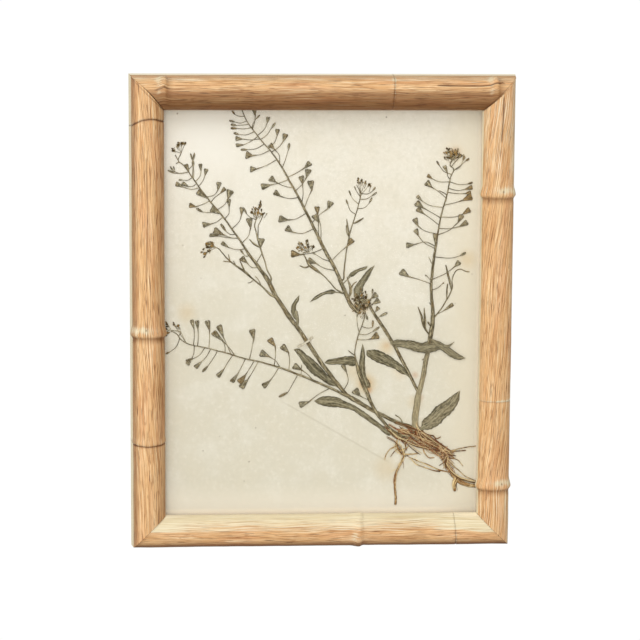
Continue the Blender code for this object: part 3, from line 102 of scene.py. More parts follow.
BRANCHES = (
    Branch("root_crown", LEVEL_ROOT,
        path=[(51.5, -73.4, 1.6), (57, -75.2, 2.8), (63, -78.5, 3.2), (69, -82, 3), (74, -85.5, 2.7),
              (77, -89, 2.1), (77.3, -93, 1.8), (79.3, -97.5, 2.2), (82.5, -101.5, 1.9), (86, -104.7, 1.5),
              (90, -106.4, 1.2), (95.5, -107.3, 1.1)],
        twigs=[[(58.5, -75.6, 1.3), (57.9, -72.5, 1.2), (57.7, -70.2, 0.8)],
               [(54, -73.6, 1.4), (50.6, -72.4, 1.2), (46.8, -73, 0.8)],
               [(82, -103, 1.7), (81.8, -107, 1.3), (82.4, -110.5, 0.9)],
               [(65, -74.6, 0.7), (68.5, -75.6, 0.5), (70.5, -77.4, 0.45), (73.4, -76.3, 0.4)],
               [(76, -84.5, 0.8), (83, -85.4, 0.45), (89, -84.9, 0.4)],
               [(79, -86, 0.8), (84, -84, 0.45), (95, -82.2, 0.45)],
               [(77, -89.6, 0.6), (84, -91, 0.35), (87.2, -94.8, 0.3)],
               [(78, -91, 0.6), (84, -97, 0.4), (89, -101.2, 0.4), (95.3, -104.2, 0.4)],
               [(60, -82, 0.6), (63.5, -86.5, 0.5), (66.5, -89.4, 0.45), (69.5, -89.2, 0.4)]]),
    Branch("root_left", LEVEL_ROOT,
        start=[(52, -73.6, 1), (48.6, -75.4, 1.1)],
        path=[(46.6, -77.8, 1.2), (46, -81, 2.2), (48, -85, 2.1), (50.2, -88, 1.3), (48.2, -93, 0.6),
              (45.4, -100, 0.6), (45.2, -108, 0.6), (46, -114, 0.8), (45.8, -118.8, 0.8)],
        twigs=[[(45, -82, 0.6), (41.5, -84.5, 0.45), (39.6, -87.5, 0.4), (38.8, -90.6, 0.35)],
               [(46.5, -83.5, 0.5), (44.2, -86, 0.35), (42.4, -88.6, 0.3)],
               [(49, -84, 0.7), (52.5, -83, 0.5), (53.8, -81, 0.4)],
               [(50, -86.5, 0.6), (56, -87, 0.5), (59.5, -86.5, 0.45)]]),
    Branch("root_strands", LEVEL_SIDE_BRANCH,
        start=[(50.4, -87.4, 0.5)],
        path=[(53.4, -88.6, 0.45), (59, -91.3, 0.5), (66, -94, 0.5), (72.8, -97.2, 0.6)],
        tip=[(79, -98.6, 0.5)],
        twigs=[[(54.5, -89.5, 0.4), (57.8, -93, 0.45), (64, -95.6, 0.45), (70, -97.6, 0.5),
                (73.3, -98, 0.6)]]),
    Branch("stem_right", LEVEL_MAIN,
        start=[(57.8, -73, 2.3)],
        path=[(57.4, -66.4, 2), (58.2, -58, 2), (59.2, -50, 1.8), (61, -43, 1.5), (62.5, -35, 1.5),
              (63.8, -27, 1.4), (65.2, -20, 1.4), (66.2, -13, 1.4), (67.2, -5, 1.3), (67.3, 2, 1.1),
              (66.5, 9, 0.9), (66.2, 18, 0.9), (67, 28, 0.85), (68.5, 40, 0.75), (70, 50, 0.6),
              (71.7, 60, 0.55), (73.8, 67.5, 0.5), (75.8, 76, 0.5), (77.3, 83.5, 0.45), (78.8, 88, 0.4),
              (76.6, 90, 0.4), (78.2, 93.5, 0.4)],
        twigs=[[(63.7, -14, 0.5), (61.8, -7, 0.8), (60.3, -1, 0.7), (58.2, 4.3, 0.3)],
               [(62.9, -10, 0.5), (62.6, -4, 0.8), (62.1, 3.6, 0.3)],
               [(66, -8.5, 0.5), (64.4, -5, 0.7)],
               [(63.5, -27, 0.4), (61, -28.6, 0.4)],
               [(66.6, 29, 0.3), (64.3, 34.8, 0.3)],
               [(73.4, 66, 0.3), (74.8, 72, 0.3), (70, 75, 0.3)],
               [(67.2, 4, 0.3), (65, 6.8, 0.3)],
               [(78, 90, 0.3), (80, 92.4, 0.3), (82.5, 95, 0.3)]],
        pods=pods(((65.8, 18.4), (57.5, 21.2), (52.5, 22.6), (47.6, 25.9), 4.4),
                  ((66, 20), (64.5, 21.7), (63.6, 22.9), (62.4, 23.5), 1.2),
                  ((67.6, 41), (62.5, 43.7), (55.5, 42.1), (50.8, 41.6), 3.4),
                  ((68.2, 39.4), (60.8, 44), (58, 47.6), (56.2, 51.3), 3),
                  ((69.6, 48.4), (60.5, 51.2), (57.6, 53.6), (55.6, 57.9), 3.4),
                  ((68.4, 41), (68.2, 42), (68.3, 42.8), (68.3, 48.6), 3),
                  ((70.5, 54), (65, 58.2), (61, 61), (57.2, 64), 3.4),
                  ((71.3, 58.5), (65.5, 61.8), (60.6, 64.5), (56.4, 67.6), 4),
                  ((73, 64.7), (63.5, 66.4), (60, 68.6), (57, 71.6), 2.2),
                  ((76.6, 80.3), (69.5, 80.4), (66, 82), (63.1, 84.1), 2.2),
                  ((74.4, 70.2), (70, 74.2), (65.6, 77), (62.4, 79.9), 4),
                  ((77.5, 84.9), (72.8, 86.6), (70.2, 90), (68.5, 92.7), 1.4),
                  ((76.9, 81.5), (75.6, 83), (75, 86), (73.2, 89.8), 2.4),
                  ((68.2, 34.5), (80, 34.2), (83.5, 35.3), (87, 37.2), 2),
                  ((67.4, 20.5), (76, 25.2), (80.2, 28.6), (83.2, 31.6), 3.2),
                  ((70.6, 51.7), (77, 51.8), (83, 53), (87.6, 55.7), 3.4),
                  ((70.2, 47.6), (77, 51), (82, 55.6), (84.2, 60), 3.4),
                  ((72, 58.9), (81, 59.1), (84.8, 60.6), (89, 63.4), 3.4),
                  ((77, 80), (83, 78.4), (87.4, 78.8), (90.5, 79.8), 1.6),
                  ((76.6, 76), (82, 74.9), (86, 75.6), (90.3, 76.9), 2.8),
                  ((76, 73.7), (81, 73), (86, 73), (89.5, 73.6), 2.6),
                  ((75, 65.5), (80, 67.5), (84.9, 69), (90, 71.5), 4.6),
                  ((67.4, 14), (70.6, 16), (73, 18.2), (74, 18.8), 1.2),
                  ((79, 87), (84, 90.8), (86, 92.7), (88.3, 94.2), 1.6),
                  ((79, 87), (82.6, 89), (84.4, 93), (85.4, 95.8), 1.8)),
        heads=[Head((78, 93), [(83.6, 96.6, 2.2), (80.2, 99.4, 3), (77, 99, 2.6), (73.8, 98.4, 1.8),
                               (79, 97, 2.4), (81, 97.4, 2), (76.6, 96.8, 2), (75.5, 100, 1.2),
                               (74.8, 95, 1.6)])]),
    Branch("stem_right_branch", LEVEL_SIDE_BRANCH,
        start=[(67, -4, 0.6)],
        path=[(69.2, -1.4, 0.6), (72.5, 3, 0.5), (75.6, 8, 0.5), (78, 12.6, 0.5), (79, 16, 0.5),
              (78.8, 20, 0.4), (80, 24, 0.4), (82, 26.6, 0.4), (84, 27.1, 0.35), (86, 26.2, 0.35),
              (88, 25.6, 0.5), (89.4, 25.4, 0.6)],
        twigs=[[(79, 14.5, 0.5), (77.6, 19, 0.7), (76, 25, 0.7), (74.9, 29.8, 0.4)],
               [(75.6, 8, 0.4), (75.8, 13, 0.6), (76.2, 18.2, 0.5)]],
        pods=pods(((70, -1), (71.5, 0.2), (74, 1.6), (79.6, 5.6), 2.4))),
    Branch("stem_centre_lower", LEVEL_MAIN,
        start=[(60, -50.5, 0.8)],
        path=[(57.2, -44.6, 0.9), (52.7, -35.7, 0.9), (47.9, -26.7, 1), (42.7, -17.2, 1), (37.4, -8.8, 1),
              (32.2, -0.9, 0.9), (28.3, 5.2, 1), (26, 8, 1.6), (22.8, 6.6, 2.4), (21.6, 3, 1.8)],
        pods=pods(((33.4, -3.2), (34, -2.6), (35, -1.7), (39.7, 0.6), 2),
                  ((31, 0.5), (31.8, 0.8), (32.5, 1.2), (34.3, 4), 2.6),
                  ((28.8, 4.5), (30, 5.4), (31, 6.1), (34.6, 8.4), 3.6),
                  ((27, 7.5), (28.6, 8.6), (30.2, 9.6), (33.2, 12), 3.6),
                  ((29.3, 9), (30.2, 10.5), (30.4, 12), (30.6, 15.2), 1.4))),
    Branch("stem_centre", LEVEL_MAIN,
        start=[(22, 0.6, 1)],
        path=[(18.2, 4.6, 1.2), (15.4, 10, 1.2), (12.3, 17, 1.2), (9, 25, 1), (5, 32.5, 1), (0, 41.5, 1),
              (-4, 50, 0.9), (-8, 58, 0.8), (-12.5, 67, 0.8), (-16.5, 74.6, 0.7), (-20.7, 82, 0.65),
              (-25.5, 90.5, 0.6), (-30.8, 98, 0.5), (-36, 104, 0.45), (-41, 110.2, 0.45), (-45.8, 117, 0.4),
              (-48, 122, 0.4), (-49.3, 125, 0.4)],
        twigs=[[(15.6, 9.6, 0.6), (17.3, 13, 0.9), (17, 17, 0.8), (15.6, 20.6, 0.5), (15, 22.8, 0.3)],
               [(17.2, 15, 0.5), (18.8, 18, 0.5), (21, 19.8, 0.3)]],
        pods=pods(((0, 39.2), (-6, 37.3), (-13.5, 36.2), (-18.8, 36.8), 4.4),
                  ((6.5, 25.5), (1, 28), (-4, 31), (-8.6, 32.8), 3.8),
                  ((3.8, 30.6), (-0.5, 34), (-4, 36.4), (-6.5, 37.6), 1.2),
                  ((-5.5, 52), (-13, 49), (-18.4, 50), (-21.8, 52.6), 4),
                  ((-10.5, 60.8), (-17, 57.6), (-21, 57.2), (-26.2, 58), 4.2),
                  ((-15.5, 70.3), (-20.5, 70.2), (-25.4, 71.5), (-29, 74.2), 3.4),
                  ((-20.8, 81.2), (-26.5, 79.4), (-31.5, 78.3), (-36.8, 77.2), 3.8),
                  ((-18.5, 75.8), (-24, 78), (-28.4, 80.2), (-31.6, 82.6), 3.8),
                  ((-28.8, 93), (-35, 89.6), (-39.8, 88), (-43.6, 87.8), 3.6),
                  ((-32.5, 98.4), (-37.5, 96.6), (-42.2, 96), (-46.2, 96.4), 4.6),
                  ((-35.8, 102.3), (-40.5, 100), (-45.2, 99.5), (-49.3, 99.5), 1.8),
                  ((-39.2, 107.4), (-43, 104.6), (-47.5, 102.4), (-52, 102.1), 2.2),
                  ((-38.2, 105.4), (-43.5, 105.4), (-48.3, 105.9), (-52.3, 106.2), 2.8),
                  ((-41.2, 110.2), (-46, 108.4), (-50.3, 108.6), (-53.5, 109.6), 1.8),
                  ((-42.6, 113), (-47, 112), (-51.4, 112.2), (-55.3, 112.4), 1.8),
                  ((-44, 114.8), (-48, 114.2), (-51.8, 114), (-55.2, 114.6), 2),
                  ((-45.8, 117), (-49, 115.4), (-52.6, 116), (-56.2, 116.9), 1.6),
                  ((-47, 119.6), (-50, 119.4), (-52.6, 120.4), (-54.6, 122.7), 1.4),
                  ((-42, 112), (-41, 116), (-40.6, 119.4), (-41.3, 124), 2.6),
                  ((-42.5, 112.6), (-41.8, 115.4), (-40.2, 117.8), (-37.8, 120.3), 1.2),
                  ((-39, 108), (-35, 112), (-33.5, 115.5), (-32.8, 119), 2.4),
                  ((-37.2, 105.6), (-33.8, 108.2), (-31, 112.2), (-28.6, 115.6), 1.8),
                  ((-32.8, 100.3), (-29, 104), (-27.5, 108), (-27.3, 111.8), 2.8),
                  ((-30.8, 98), (-26, 101.6), (-23.8, 104.6), (-22.4, 108.9), 3.4),
                  ((-26, 91.2), (-26.3, 96.4), (-29.3, 100), (-31.9, 102.6), 3.2),
                  ((-24.4, 88.4), (-22.4, 94), (-20.8, 99.4), (-20.2, 103.4), 2),
                  ((-21.4, 82.8), (-15, 86), (-11, 88.6), (-7.6, 91.7), 3.4),
                  ((-16.6, 74.8), (-12, 79.2), (-9.8, 83), (-8.6, 87.7), 3.8),
                  ((-12.4, 67.4), (-11.8, 73), (-12.2, 79.2), (-13, 83.6), 3.4),
                  ((-10.8, 64), (-9, 70), (-6.6, 75.4), (-7.4, 80.8), 4),
                  ((-6.6, 55.4), (-2, 60.2), (3.2, 64), (5, 68.2), 4),
                  ((-2, 46), (-2.4, 50), (-2.4, 56), (-5, 60.2), 4),
                  ((-0.4, 44), (-1.2, 54), (-3, 60.6), (-3.4, 65.2), 3.2),
                  ((5, 32.2), (10, 37), (15, 41.4), (18.2, 45.4), 3.6))),
    Branch("stem_centre_branch", LEVEL_SIDE_BRANCH,
        start=[(10.6, 19.6, 0.7)],
        path=[(12.9, 21, 0.6), (13.1, 25, 0.6), (13.8, 32, 0.5), (14.8, 40, 0.5), (15.9, 46, 0.55),
              (17.6, 53, 0.45), (19.8, 60, 0.4), (21.6, 66, 0.4), (23.2, 73, 0.4)],
        twigs=[[(16.2, 47.5, 0.6), (15.4, 52, 0.7), (14.5, 57.8, 0.3)],
               [(16, 46.5, 0.5), (14.6, 50, 0.4), (14.3, 54, 0.3)],
               [(18.6, 54.6, 0.5), (21.5, 56.2, 0.7), (24.8, 58.4, 0.4)],
               [(22.8, 70, 0.3), (22.4, 74, 0.3), (20.4, 78.4, 0.3)]],
        pods=pods(((20, 60.3), (16.6, 63), (15.4, 66), (14.1, 69.4), 1.4),
                  ((21.6, 66.8), (18.6, 69.4), (17.2, 71.4), (15.8, 75), 1.2),
                  ((22.8, 71), (21.3, 73), (20.1, 75), (19, 77.6), 1),
                  ((23.2, 73), (27.5, 73), (30, 74.6), (31.8, 77), 1.2),
                  ((22.6, 69.8), (26.5, 69.9), (29.5, 71.6), (32.6, 73.8), 1.4),
                  ((21.8, 63.6), (25.5, 64.7), (28, 67.2), (29.8, 70.6), 1.6)),
        heads=[Head((23.2, 72.6), [(28.4, 79.3, 1.8), (25.8, 80.4, 1.4), (23.2, 81.4, 1.4),
                                   (20.8, 81.6, 1.2)])]),
    Branch("stem_flower_branch", LEVEL_SIDE_BRANCH,
        start=[(14.2, 12.6, 0.7)],
        path=[(12.2, 13.1, 0.6), (9, 14.6, 0.5), (4.2, 20, 0.45), (0, 24, 0.5), (-4, 27, 0.9),
              (-8, 30.4, 0.9), (-10, 34, 0.5), (-11.6, 37.2, 0.5), (-7.6, 37.9, 0.5)],
        twigs=[[(-7.4, 29.4, 0.6), (-10, 28.4, 0.6), (-13.8, 29.5, 0.4)]],
        heads=[Head((-8, 37.8), [(-4.8, 41.4, 1.7), (-9.7, 45.2, 1.8), (-13.4, 43.4, 2), (-15.4, 41, 1.6),
                                 (-11, 41, 1.8), (-8.6, 41.8, 1.8), (-13, 39.4, 1.6)])]),
    Branch("stem_short", LEVEL_SHORT_STEM,
        start=[(54, -76, 1.2), (48.4, -75, 0.9)],
        path=[(43, -72, 0.9), (38, -66.6, 0.9), (33.2, -60.5, 1), (30.6, -55.5, 1), (27.6, -48.5, 1.2),
              (24.8, -42, 1.3), (22.6, -35.5, 1.2), (20.6, -29, 0.8), (20.1, -23, 0.4), (20.8, -18, 0.4),
              (22.2, -12.6, 0.4), (24.4, -7, 0.4), (25.7, -1.5, 0.45), (25.4, 3.5, 0.6)],
        twigs=[[(26.6, -44, 0.4), (29.2, -45, 0.5), (28, -40.5, 0.7)],
               [(20.2, -25.5, 0.3), (18, -24, 0.4), (16, -22.4, 0.3)]],
        pods=pods(((21.4, -15.6), (26, -16), (30, -15.4), (34.2, -13), 4.4),
                  ((22.4, -12.6), (27, -12.7), (30.8, -11), (35, -8), 1.6),
                  ((24.6, -7.8), (28.4, -8.8), (30.8, -8.2), (30.9, -4), 1.6),
                  ((22.6, -11.6), (21.4, -6), (21.1, -2), (21.6, 0.4), 1.2),
                  ((25.4, 2), (26.2, 0.6), (26.8, -0.6), (27.6, -3.6), 1.6),
                  ((29.6, -53.4), (25, -51.4), (23.4, -50.4), (20, -46.8), 4.6)),
        heads=[Head((25.4, 2), [(28.6, 8.2, 2.2), (26.4, 11.2, 2.4), (23.8, 12.6, 2.4), (21, 11.2, 2.6),
                                (21.6, 0.2, 2.2), (24.6, 6.4, 2.6), (26.6, 4.6, 2.4), (22.4, 8.2, 2.6),
                                (20.4, 5.6, 2.2), (29.4, 7, 1.8), (19.4, 9.4, 1.8)])]),
    Branch("stem_left_base", LEVEL_BASE,
        start=[(58, -73.5, 1.9)],
        path=[(53.8, -69.4, 1), (49, -68, 1.1), (43, -65.6, 1.1), (37, -62.4, 1.1), (30, -59, 1.1),
              (23, -54.6, 1.3), (17.4, -51.5, 1.5)],
        twigs=[[(50, -68, 0.5), (48.4, -65, 0.45), (45, -62.4, 0.4)]]),
    Branch("stem_upper_left", LEVEL_MAIN,
        start=[(20.5, -53.4, 1.3)],
        path=[(15.6, -50, 1.1), (10, -43.4, 1.2), (4, -35.8, 1.2), (-3, -26, 1.2), (-9.3, -16.5, 1.2),
              (-15, -8.2, 1.2), (-20, -1.5, 1.4), (-24.6, 5.6, 1.2), (-29, 12.8, 1.2), (-33, 21, 1.3),
              (-38, 28.2, 1), (-44.5, 37, 0.8), (-50, 45.5, 0.65), (-56, 54, 0.6), (-62, 62, 0.55),
              (-68, 69, 0.55), (-74, 77, 0.5), (-79, 84, 0.45), (-83, 90, 0.4), (-86.6, 93.2, 0.35),
              (-84.8, 97.4, 0.3)],
        twigs=[[(-86.4, 93, 0.3), (-88.4, 96.6, 0.4)],
               [(-85.6, 92.2, 0.3), (-88, 91.2, 0.4)]],
        pods=pods(((13.4, -47.4), (16.2, -41), (15.2, -36), (12.8, -31.4), 2.6),
                  ((-38.4, 28.6), (-42.6, 28.6), (-45.4, 31.4), (-49, 34.4), 3.6),
                  ((-44.6, 35), (-46.2, 35.4), (-47.4, 36.6), (-49.4, 39.2), 1.5),
                  ((-46.6, 40), (-51, 39.3), (-56.4, 40.6), (-60.6, 43.6), 2.4),
                  ((-50.6, 46.2), (-55, 46.6), (-60, 48.6), (-65.4, 50.8), 4.8),
                  ((-50.8, 46), (-57, 46.6), (-62.5, 47.6), (-67.8, 48.2), 2.2),
                  ((-52.2, 48.4), (-55.5, 48.6), (-58, 50.4), (-61.2, 55), 2),
                  ((-59.8, 59), (-63.5, 56.2), (-67.4, 54.8), (-72, 54.4), 3.4),
                  ((-60.6, 60.4), (-61, 60.8), (-61.6, 61.2), (-66.8, 64.4), 4.4),
                  ((-62.8, 62.8), (-68, 61.8), (-72, 62.1), (-75.8, 64.4), 2),
                  ((-67.8, 68.6), (-71.5, 66.9), (-76.2, 65.3), (-80, 66.3), 3),
                  ((-69, 70), (-69.8, 70.5), (-70.6, 71), (-75, 74.6), 3.8),
                  ((-74, 76.6), (-79, 75.8), (-83.6, 77.2), (-88, 79.2), 2.8),
                  ((-75.6, 79), (-78, 77.6), (-80.4, 77.4), (-84.2, 79.6), 2.4),
                  ((-78.4, 82.6), (-81, 81.2), (-84, 81.4), (-86.4, 81.5), 1.3),
                  ((-80.4, 86), (-85.4, 85.4), (-88.4, 85.4), (-92.8, 87.2), 1.6),
                  ((-48.4, 43.2), (-44.6, 47.6), (-43.3, 52.6), (-44.2, 58.2), 3.8),
                  ((-54.6, 51.8), (-50, 56.6), (-48.8, 60.4), (-48.4, 64.8), 3),
                  ((-59, 58), (-56.4, 61), (-56.2, 65.3), (-56.4, 69.8), 2.6),
                  ((-63.4, 63.6), (-58.4, 67.2), (-56.8, 70.4), (-55.4, 75.2), 4.4),
                  ((-67.2, 68), (-64.6, 71), (-61.4, 73.4), (-58.6, 76.4), 2.4),
                  ((-69.6, 71.2), (-64.8, 72.6), (-62.9, 75.3), (-62.2, 80), 3),
                  ((-74.4, 77.6), (-71.8, 81), (-70.6, 84.3), (-69.8, 88), 2.6),
                  ((-76.4, 80.4), (-73.6, 83.6), (-73, 86.6), (-73.4, 91), 2.2),
                  ((-77.6, 82), (-77.3, 86), (-77.6, 89.5), (-77.8, 93), 2),
                  ((-79.8, 85), (-80.1, 85.6), (-80.2, 86.2), (-82.2, 90.7), 2.8),
                  ((-77.6, 83), (-77.8, 90), (-78, 93), (-79.2, 97.2), 1.4),
                  ((-77.8, 89), (-77.8, 91), (-77.6, 93.4), (-76.8, 97.6), 1.5),
                  ((-80.4, 86), (-86, 85.4), (-89.4, 86.6), (-91.4, 89.6), 1.3),
                  ((-80.4, 86), (-86, 85.4), (-88.6, 86.4), (-89.4, 89.6), 1)),
        heads=[Head((-84.8, 97.2), [(-82, 104, 1.6), (-84.4, 104.2, 2), (-87, 103.2, 2),
                                    (-90.2, 99.4, 1.8)])]),
    Branch("stem_upper_left_branch_a", LEVEL_SIDE_BRANCH,
        start=[(-31.6, 18.6, 0.8)],
        path=[(-30.8, 21.8, 0.6), (-33, 26.5, 0.5), (-35, 33, 0.5), (-37.2, 39.8, 0.6), (-38.8, 45, 0.6),
              (-40, 50, 0.5), (-40.8, 54, 0.4), (-39.6, 58.4, 0.4)],
        twigs=[[(-38, 40.6, 0.5), (-41, 42.6, 0.7), (-44, 45.6, 0.4)],
               [(-38.9, 45.4, 0.4), (-38.7, 50, 0.4), (-38.6, 54, 0.35), (-36.6, 58.2, 0.35),
                (-35.8, 60.4, 0.5)],
               [(-36.4, 37, 0.3), (-39.6, 31.6, 0.3)]],
        pods=pods(((-37.2, 39.6), (-37.3, 40.2), (-37.3, 40.8), (-36.8, 46), 4.2),
                  ((-40.6, 57.6), (-43.6, 58.9), (-45.6, 60.8), (-47.4, 64.4), 1.6)),
        heads=[Head((-39.8, 57.8), [(-35.3, 61.2, 1.8), (-37.4, 66.4, 2), (-40.4, 65, 2), (-43, 62.8, 1.9),
                                    (-38.6, 62.6, 2.2), (-41, 62, 1.8), (-37.4, 68.4, 1)])]),
    Branch("stem_upper_left_branch_b", LEVEL_SIDE_BRANCH,
        start=[(-27.6, 10.4, 0.9)],
        path=[(-30.6, 11.6, 0.8), (-36, 16.6, 0.6), (-41, 20.8, 0.55), (-46.5, 25.6, 0.8), (-52, 29.6, 0.6),
              (-57, 33.6, 0.5), (-60.5, 37.6, 0.4), (-62.6, 40, 0.4), (-66, 41.2, 0.4)],
        twigs=[[(-46.6, 26, 0.5), (-48.2, 29.6, 0.6), (-49.8, 32.6, 0.3)],
               [(-41.4, 21, 0.3), (-43, 19.6, 0.3), (-45, 19, 0.3)],
               [(-36.6, 17.4, 0.3), (-38.6, 21, 0.3), (-40.6, 23.4, 0.3)],
               [(-52, 29.8, 0.4), (-53.6, 32.6, 0.3)],
               [(-55.6, 32.6, 0.4), (-56.6, 36.6, 0.35)],
               [(-55.4, 31.4, 0.4), (-59.8, 32.4, 0.4)]],
        heads=[Head((-64, 40.6), [(-67, 44.2, 2.2), (-70.5, 43.2, 2.4), (-71.8, 36.4, 2.4), (-70.3, 41, 2.2),
                                  (-67.6, 41.6, 2), (-69.4, 38.4, 2)])]),
    Branch("stem_lower_left", LEVEL_MAIN,
        start=[(17.5, -51.6, 0.9)],
        path=[(11.6, -48.6, 0.8), (5, -45.4, 0.8), (-3, -41.8, 0.75), (-13, -37.6, 0.7), (-25, -33, 0.65),
              (-36, -29.6, 0.55), (-48, -26.8, 0.5), (-60, -23, 0.45), (-72, -20, 0.4), (-82, -17.4, 0.4),
              (-85.6, -15, 0.35), (-87.6, -12, 0.35), (-91, -9.9, 0.3)],
        twigs=[[(-12.4, -37.6, 0.25), (-12.2, -31, 0.25)],
               [(-86.8, -13, 0.3), (-85.2, -11, 0.3), (-90.6, -9.6, 0.3)]],
        pods=pods(((-5, -40.8), (-8.6, -37), (-12.4, -34.2), (-17, -31.6), 4),
                  ((-20, -34.8), (-19.6, -27.4), (-20.2, -23.6), (-24.2, -19.4), 3.8),
                  ((-29, -31.6), (-28.1, -25), (-28.3, -19.6), (-31.8, -15.2), 3.8),
                  ((-25, -33), (-28, -28.6), (-32.2, -25.8), (-37.2, -23.6), 4.4),
                  ((-44, -27.6), (-42.4, -20.6), (-41.3, -15), (-42.4, -9.4), 3.8),
                  ((-55, -24.4), (-57.5, -18.6), (-59.8, -13.6), (-62.4, -6.8), 3.6),
                  ((-52.8, -25.4), (-56.6, -19.8), (-60.4, -15.8), (-65.8, -10.8), 3.6),
                  ((-58.8, -23.2), (-58.6, -21), (-59, -18), (-61, -14.6), 1.2),
                  ((-68.4, -20.9), (-68, -14), (-68, -9.6), (-69.4, -3.9), 3.2),
                  ((-75.4, -19), (-74.8, -13.6), (-75, -9), (-75.6, -3.8), 2.6),
                  ((-77.8, -18.4), (-77.2, -13.6), (-77.3, -9), (-78.8, -3.4), 2.4),
                  ((-86, -14.6), (-88.4, -20), (-92, -22.8), (-94.4, -24), 1.4),
                  ((-71, -20.4), (-74.4, -25), (-77.8, -27), (-82.4, -28.2), 1.8),
                  ((-77.4, -18.6), (-77.6, -24), (-79, -27.5), (-81.6, -30.4), 2.8),
                  ((-67.6, -21.2), (-69.8, -25.6), (-73, -29), (-76.6, -32.4), 2.8),
                  ((-63, -22.4), (-66, -27.2), (-69, -31.5), (-72.4, -35.2), 2),
                  ((-54.2, -25), (-57, -29.4), (-59.4, -33.6), (-63.2, -38), 2.8),
                  ((-46.2, -27.4), (-48.4, -31.6), (-51, -36.6), (-54.6, -41.4), 2.8),
                  ((-41, -28.4), (-43.4, -32.6), (-46.4, -37.4), (-50, -42), 4.2),
                  ((-38.4, -29.2), (-41.8, -35), (-44.9, -40), (-49, -45), 3.6),
                  ((-26, -33), (-29, -37.6), (-31.5, -41), (-35.6, -44.4), 3.4),
                  ((-14.6, -37.4), (-18, -43.6), (-20.4, -48), (-26, -50.9), 2),
                  ((5, -46), (-3, -50.2), (-7.6, -54), (-13.4, -56), 3.8)),
        heads=[Head((-82, -17.2), [(-87.2, -6, 1.4), (-89.8, -5.4, 1.6)]),
               Head((-90.6, -9.9), [(-94.4, -5.4, 1.2), (-94.6, -8.4, 1.4), (-94, -11.6, 1.8)])]),
)

LEAVES = (
    Leaf("leaf_1", LEVEL_LEAF_OVER_STEM, [(41.4, -18.4), (44, -16.4), (50, -16.2), (56, -16.8), (61, -18),
          (66, -16.6), (71, -18), (77, -19.2), (81, -17.3), (78, -20.4), (72, -22.2), (65, -24.2),
          (58, -23.6), (50, -21), (44, -20)], stalk=[(43, -18, 0.8), (41.6, -16.6, 0.7)], pale=0.4),
    Leaf("leaf_2", LEVEL_TOP_LEAF, [(66.5, -15.5), (71, -17), (77, -20.4), (83, -24.6), (87.8, -27.6),
          (84, -28.6), (79, -27), (73, -22.6), (68, -19.6)], pale=0.5),
    Leaf("leaf_3", LEVEL_LEAF, [(53, -38), (50.5, -33.6), (45.5, -29), (40, -25.2), (33, -22.2),
          (27.3, -22.4), (27.2, -25), (32, -29), (38, -31.6), (44, -33.8), (49, -37.2)],
         stalk=[(51.6, -37, 0.8), (54, -39.4, 0.6)]),
    Leaf("leaf_4", LEVEL_LEAF, [(21, -29), (20, -26.6), (14.5, -26.2), (8, -27.4), (3, -28.6), (1.6, -30),
          (4, -31), (10, -31), (16, -31.6), (20, -32)],
         stalk=[(19.4, -29.6, 1), (21.4, -29.4, 0.7)], dark=0.68),
    Leaf("leaf_5", LEVEL_LEAF, [(24.8, -18.2), (26.2, -23.5), (26.4, -31), (27, -38), (29.5, -44.4),
          (27, -46.6), (24, -40), (22.8, -33), (23.4, -25)],
         stalk=[(28, -44.6, 0.7), (26.4, -46.4, 0.6)], pale=0.3),
    Leaf("leaf_6", LEVEL_LEAF, [(-17.2, -21.6), (-14.6, -21.1), (-9, -25), (-3, -30), (2, -35.6), (6, -40),
          (9, -44.6), (5.4, -44), (0, -40.6), (-6, -36.6), (-10.2, -31.6), (-13.2, -27)],
         stalk=[(7, -43, 0.7), (10.6, -45.4, 0.6)], dark=0.74),
    Leaf("leaf_7", LEVEL_LEAF, [(-4.6, -53.6), (-0.6, -51.2), (4, -50.6), (9, -51.2), (14, -53.6),
          (20, -56.4), (28, -61.8), (36, -68), (43.8, -73.4), (42.6, -75), (34, -70), (26, -64.4),
          (18, -59.2), (10, -57.6), (2, -56.8), (-2, -55.4)],
         stalk=[(42, -73.6, 1), (48, -76.6, 0.9), (55, -77.4, 0.9)], pale=0.2),
    Leaf("leaf_8", LEVEL_LEAF, [(84.8, -47.6), (80.5, -50.3), (76.2, -53.7), (70.9, -56.9), (65.7, -62.7),
          (61.6, -66.9), (61.2, -70.4), (64.2, -71.9), (70.6, -69.8), (76.7, -64), (81.2, -59.5), (84, -54)],
         stalk=[(64, -69.4, 1.4), (60.5, -72, 1.3), (57.5, -75, 1)], pale=1),
    Leaf("leaf_9", LEVEL_LEAF, [(19.2, 10.4), (19.2, 15), (23.4, 21.4), (27.6, 26.8), (31.8, 29.6),
          (28.7, 23), (25, 16.4), (23.6, 10.6)],
         stalk=[(21.4, 12.6, 1.3), (21.6, 8.6, 1.4), (22, 5, 1.2)], dark=0.77),
    Leaf("leaf_10", LEVEL_LEAF, [(-7.4, 7.2), (-4.6, 10.4), (1, 13.4), (7, 14.6), (8.4, 13.6), (7.4, 12.6),
          (2, 12), (-3.4, 9)], stalk=[(6.6, 13.2, 0.5), (10, 13, 0.45), (13, 12.2, 0.5)], dark=0.82),
    Leaf("leaf_11", LEVEL_LEAF, [(15.4, 22.4), (17, 24.8), (21, 27.2), (27.4, 29.2), (27, 28), (22, 25.6),
          (18.2, 22.6)], stalk=[(17.4, 23.2, 0.6), (14.6, 20.4, 0.4), (12, 17.8, 0.4)], dark=0.75),
    Leaf("leaf_12", LEVEL_LEAF, [(-18.2, -0.4), (-18.6, 4.6), (-16.4, 8.6), (-13.8, 11.6), (-14, 8.8),
          (-15.6, 5.4), (-15.4, 1), (-14, -4.8), (-16, -3.6)],
         stalk=[(-15.8, 2, 0.9), (-14.8, -4, 0.9), (-15.4, -8, 0.8)], dark=0.73),
)
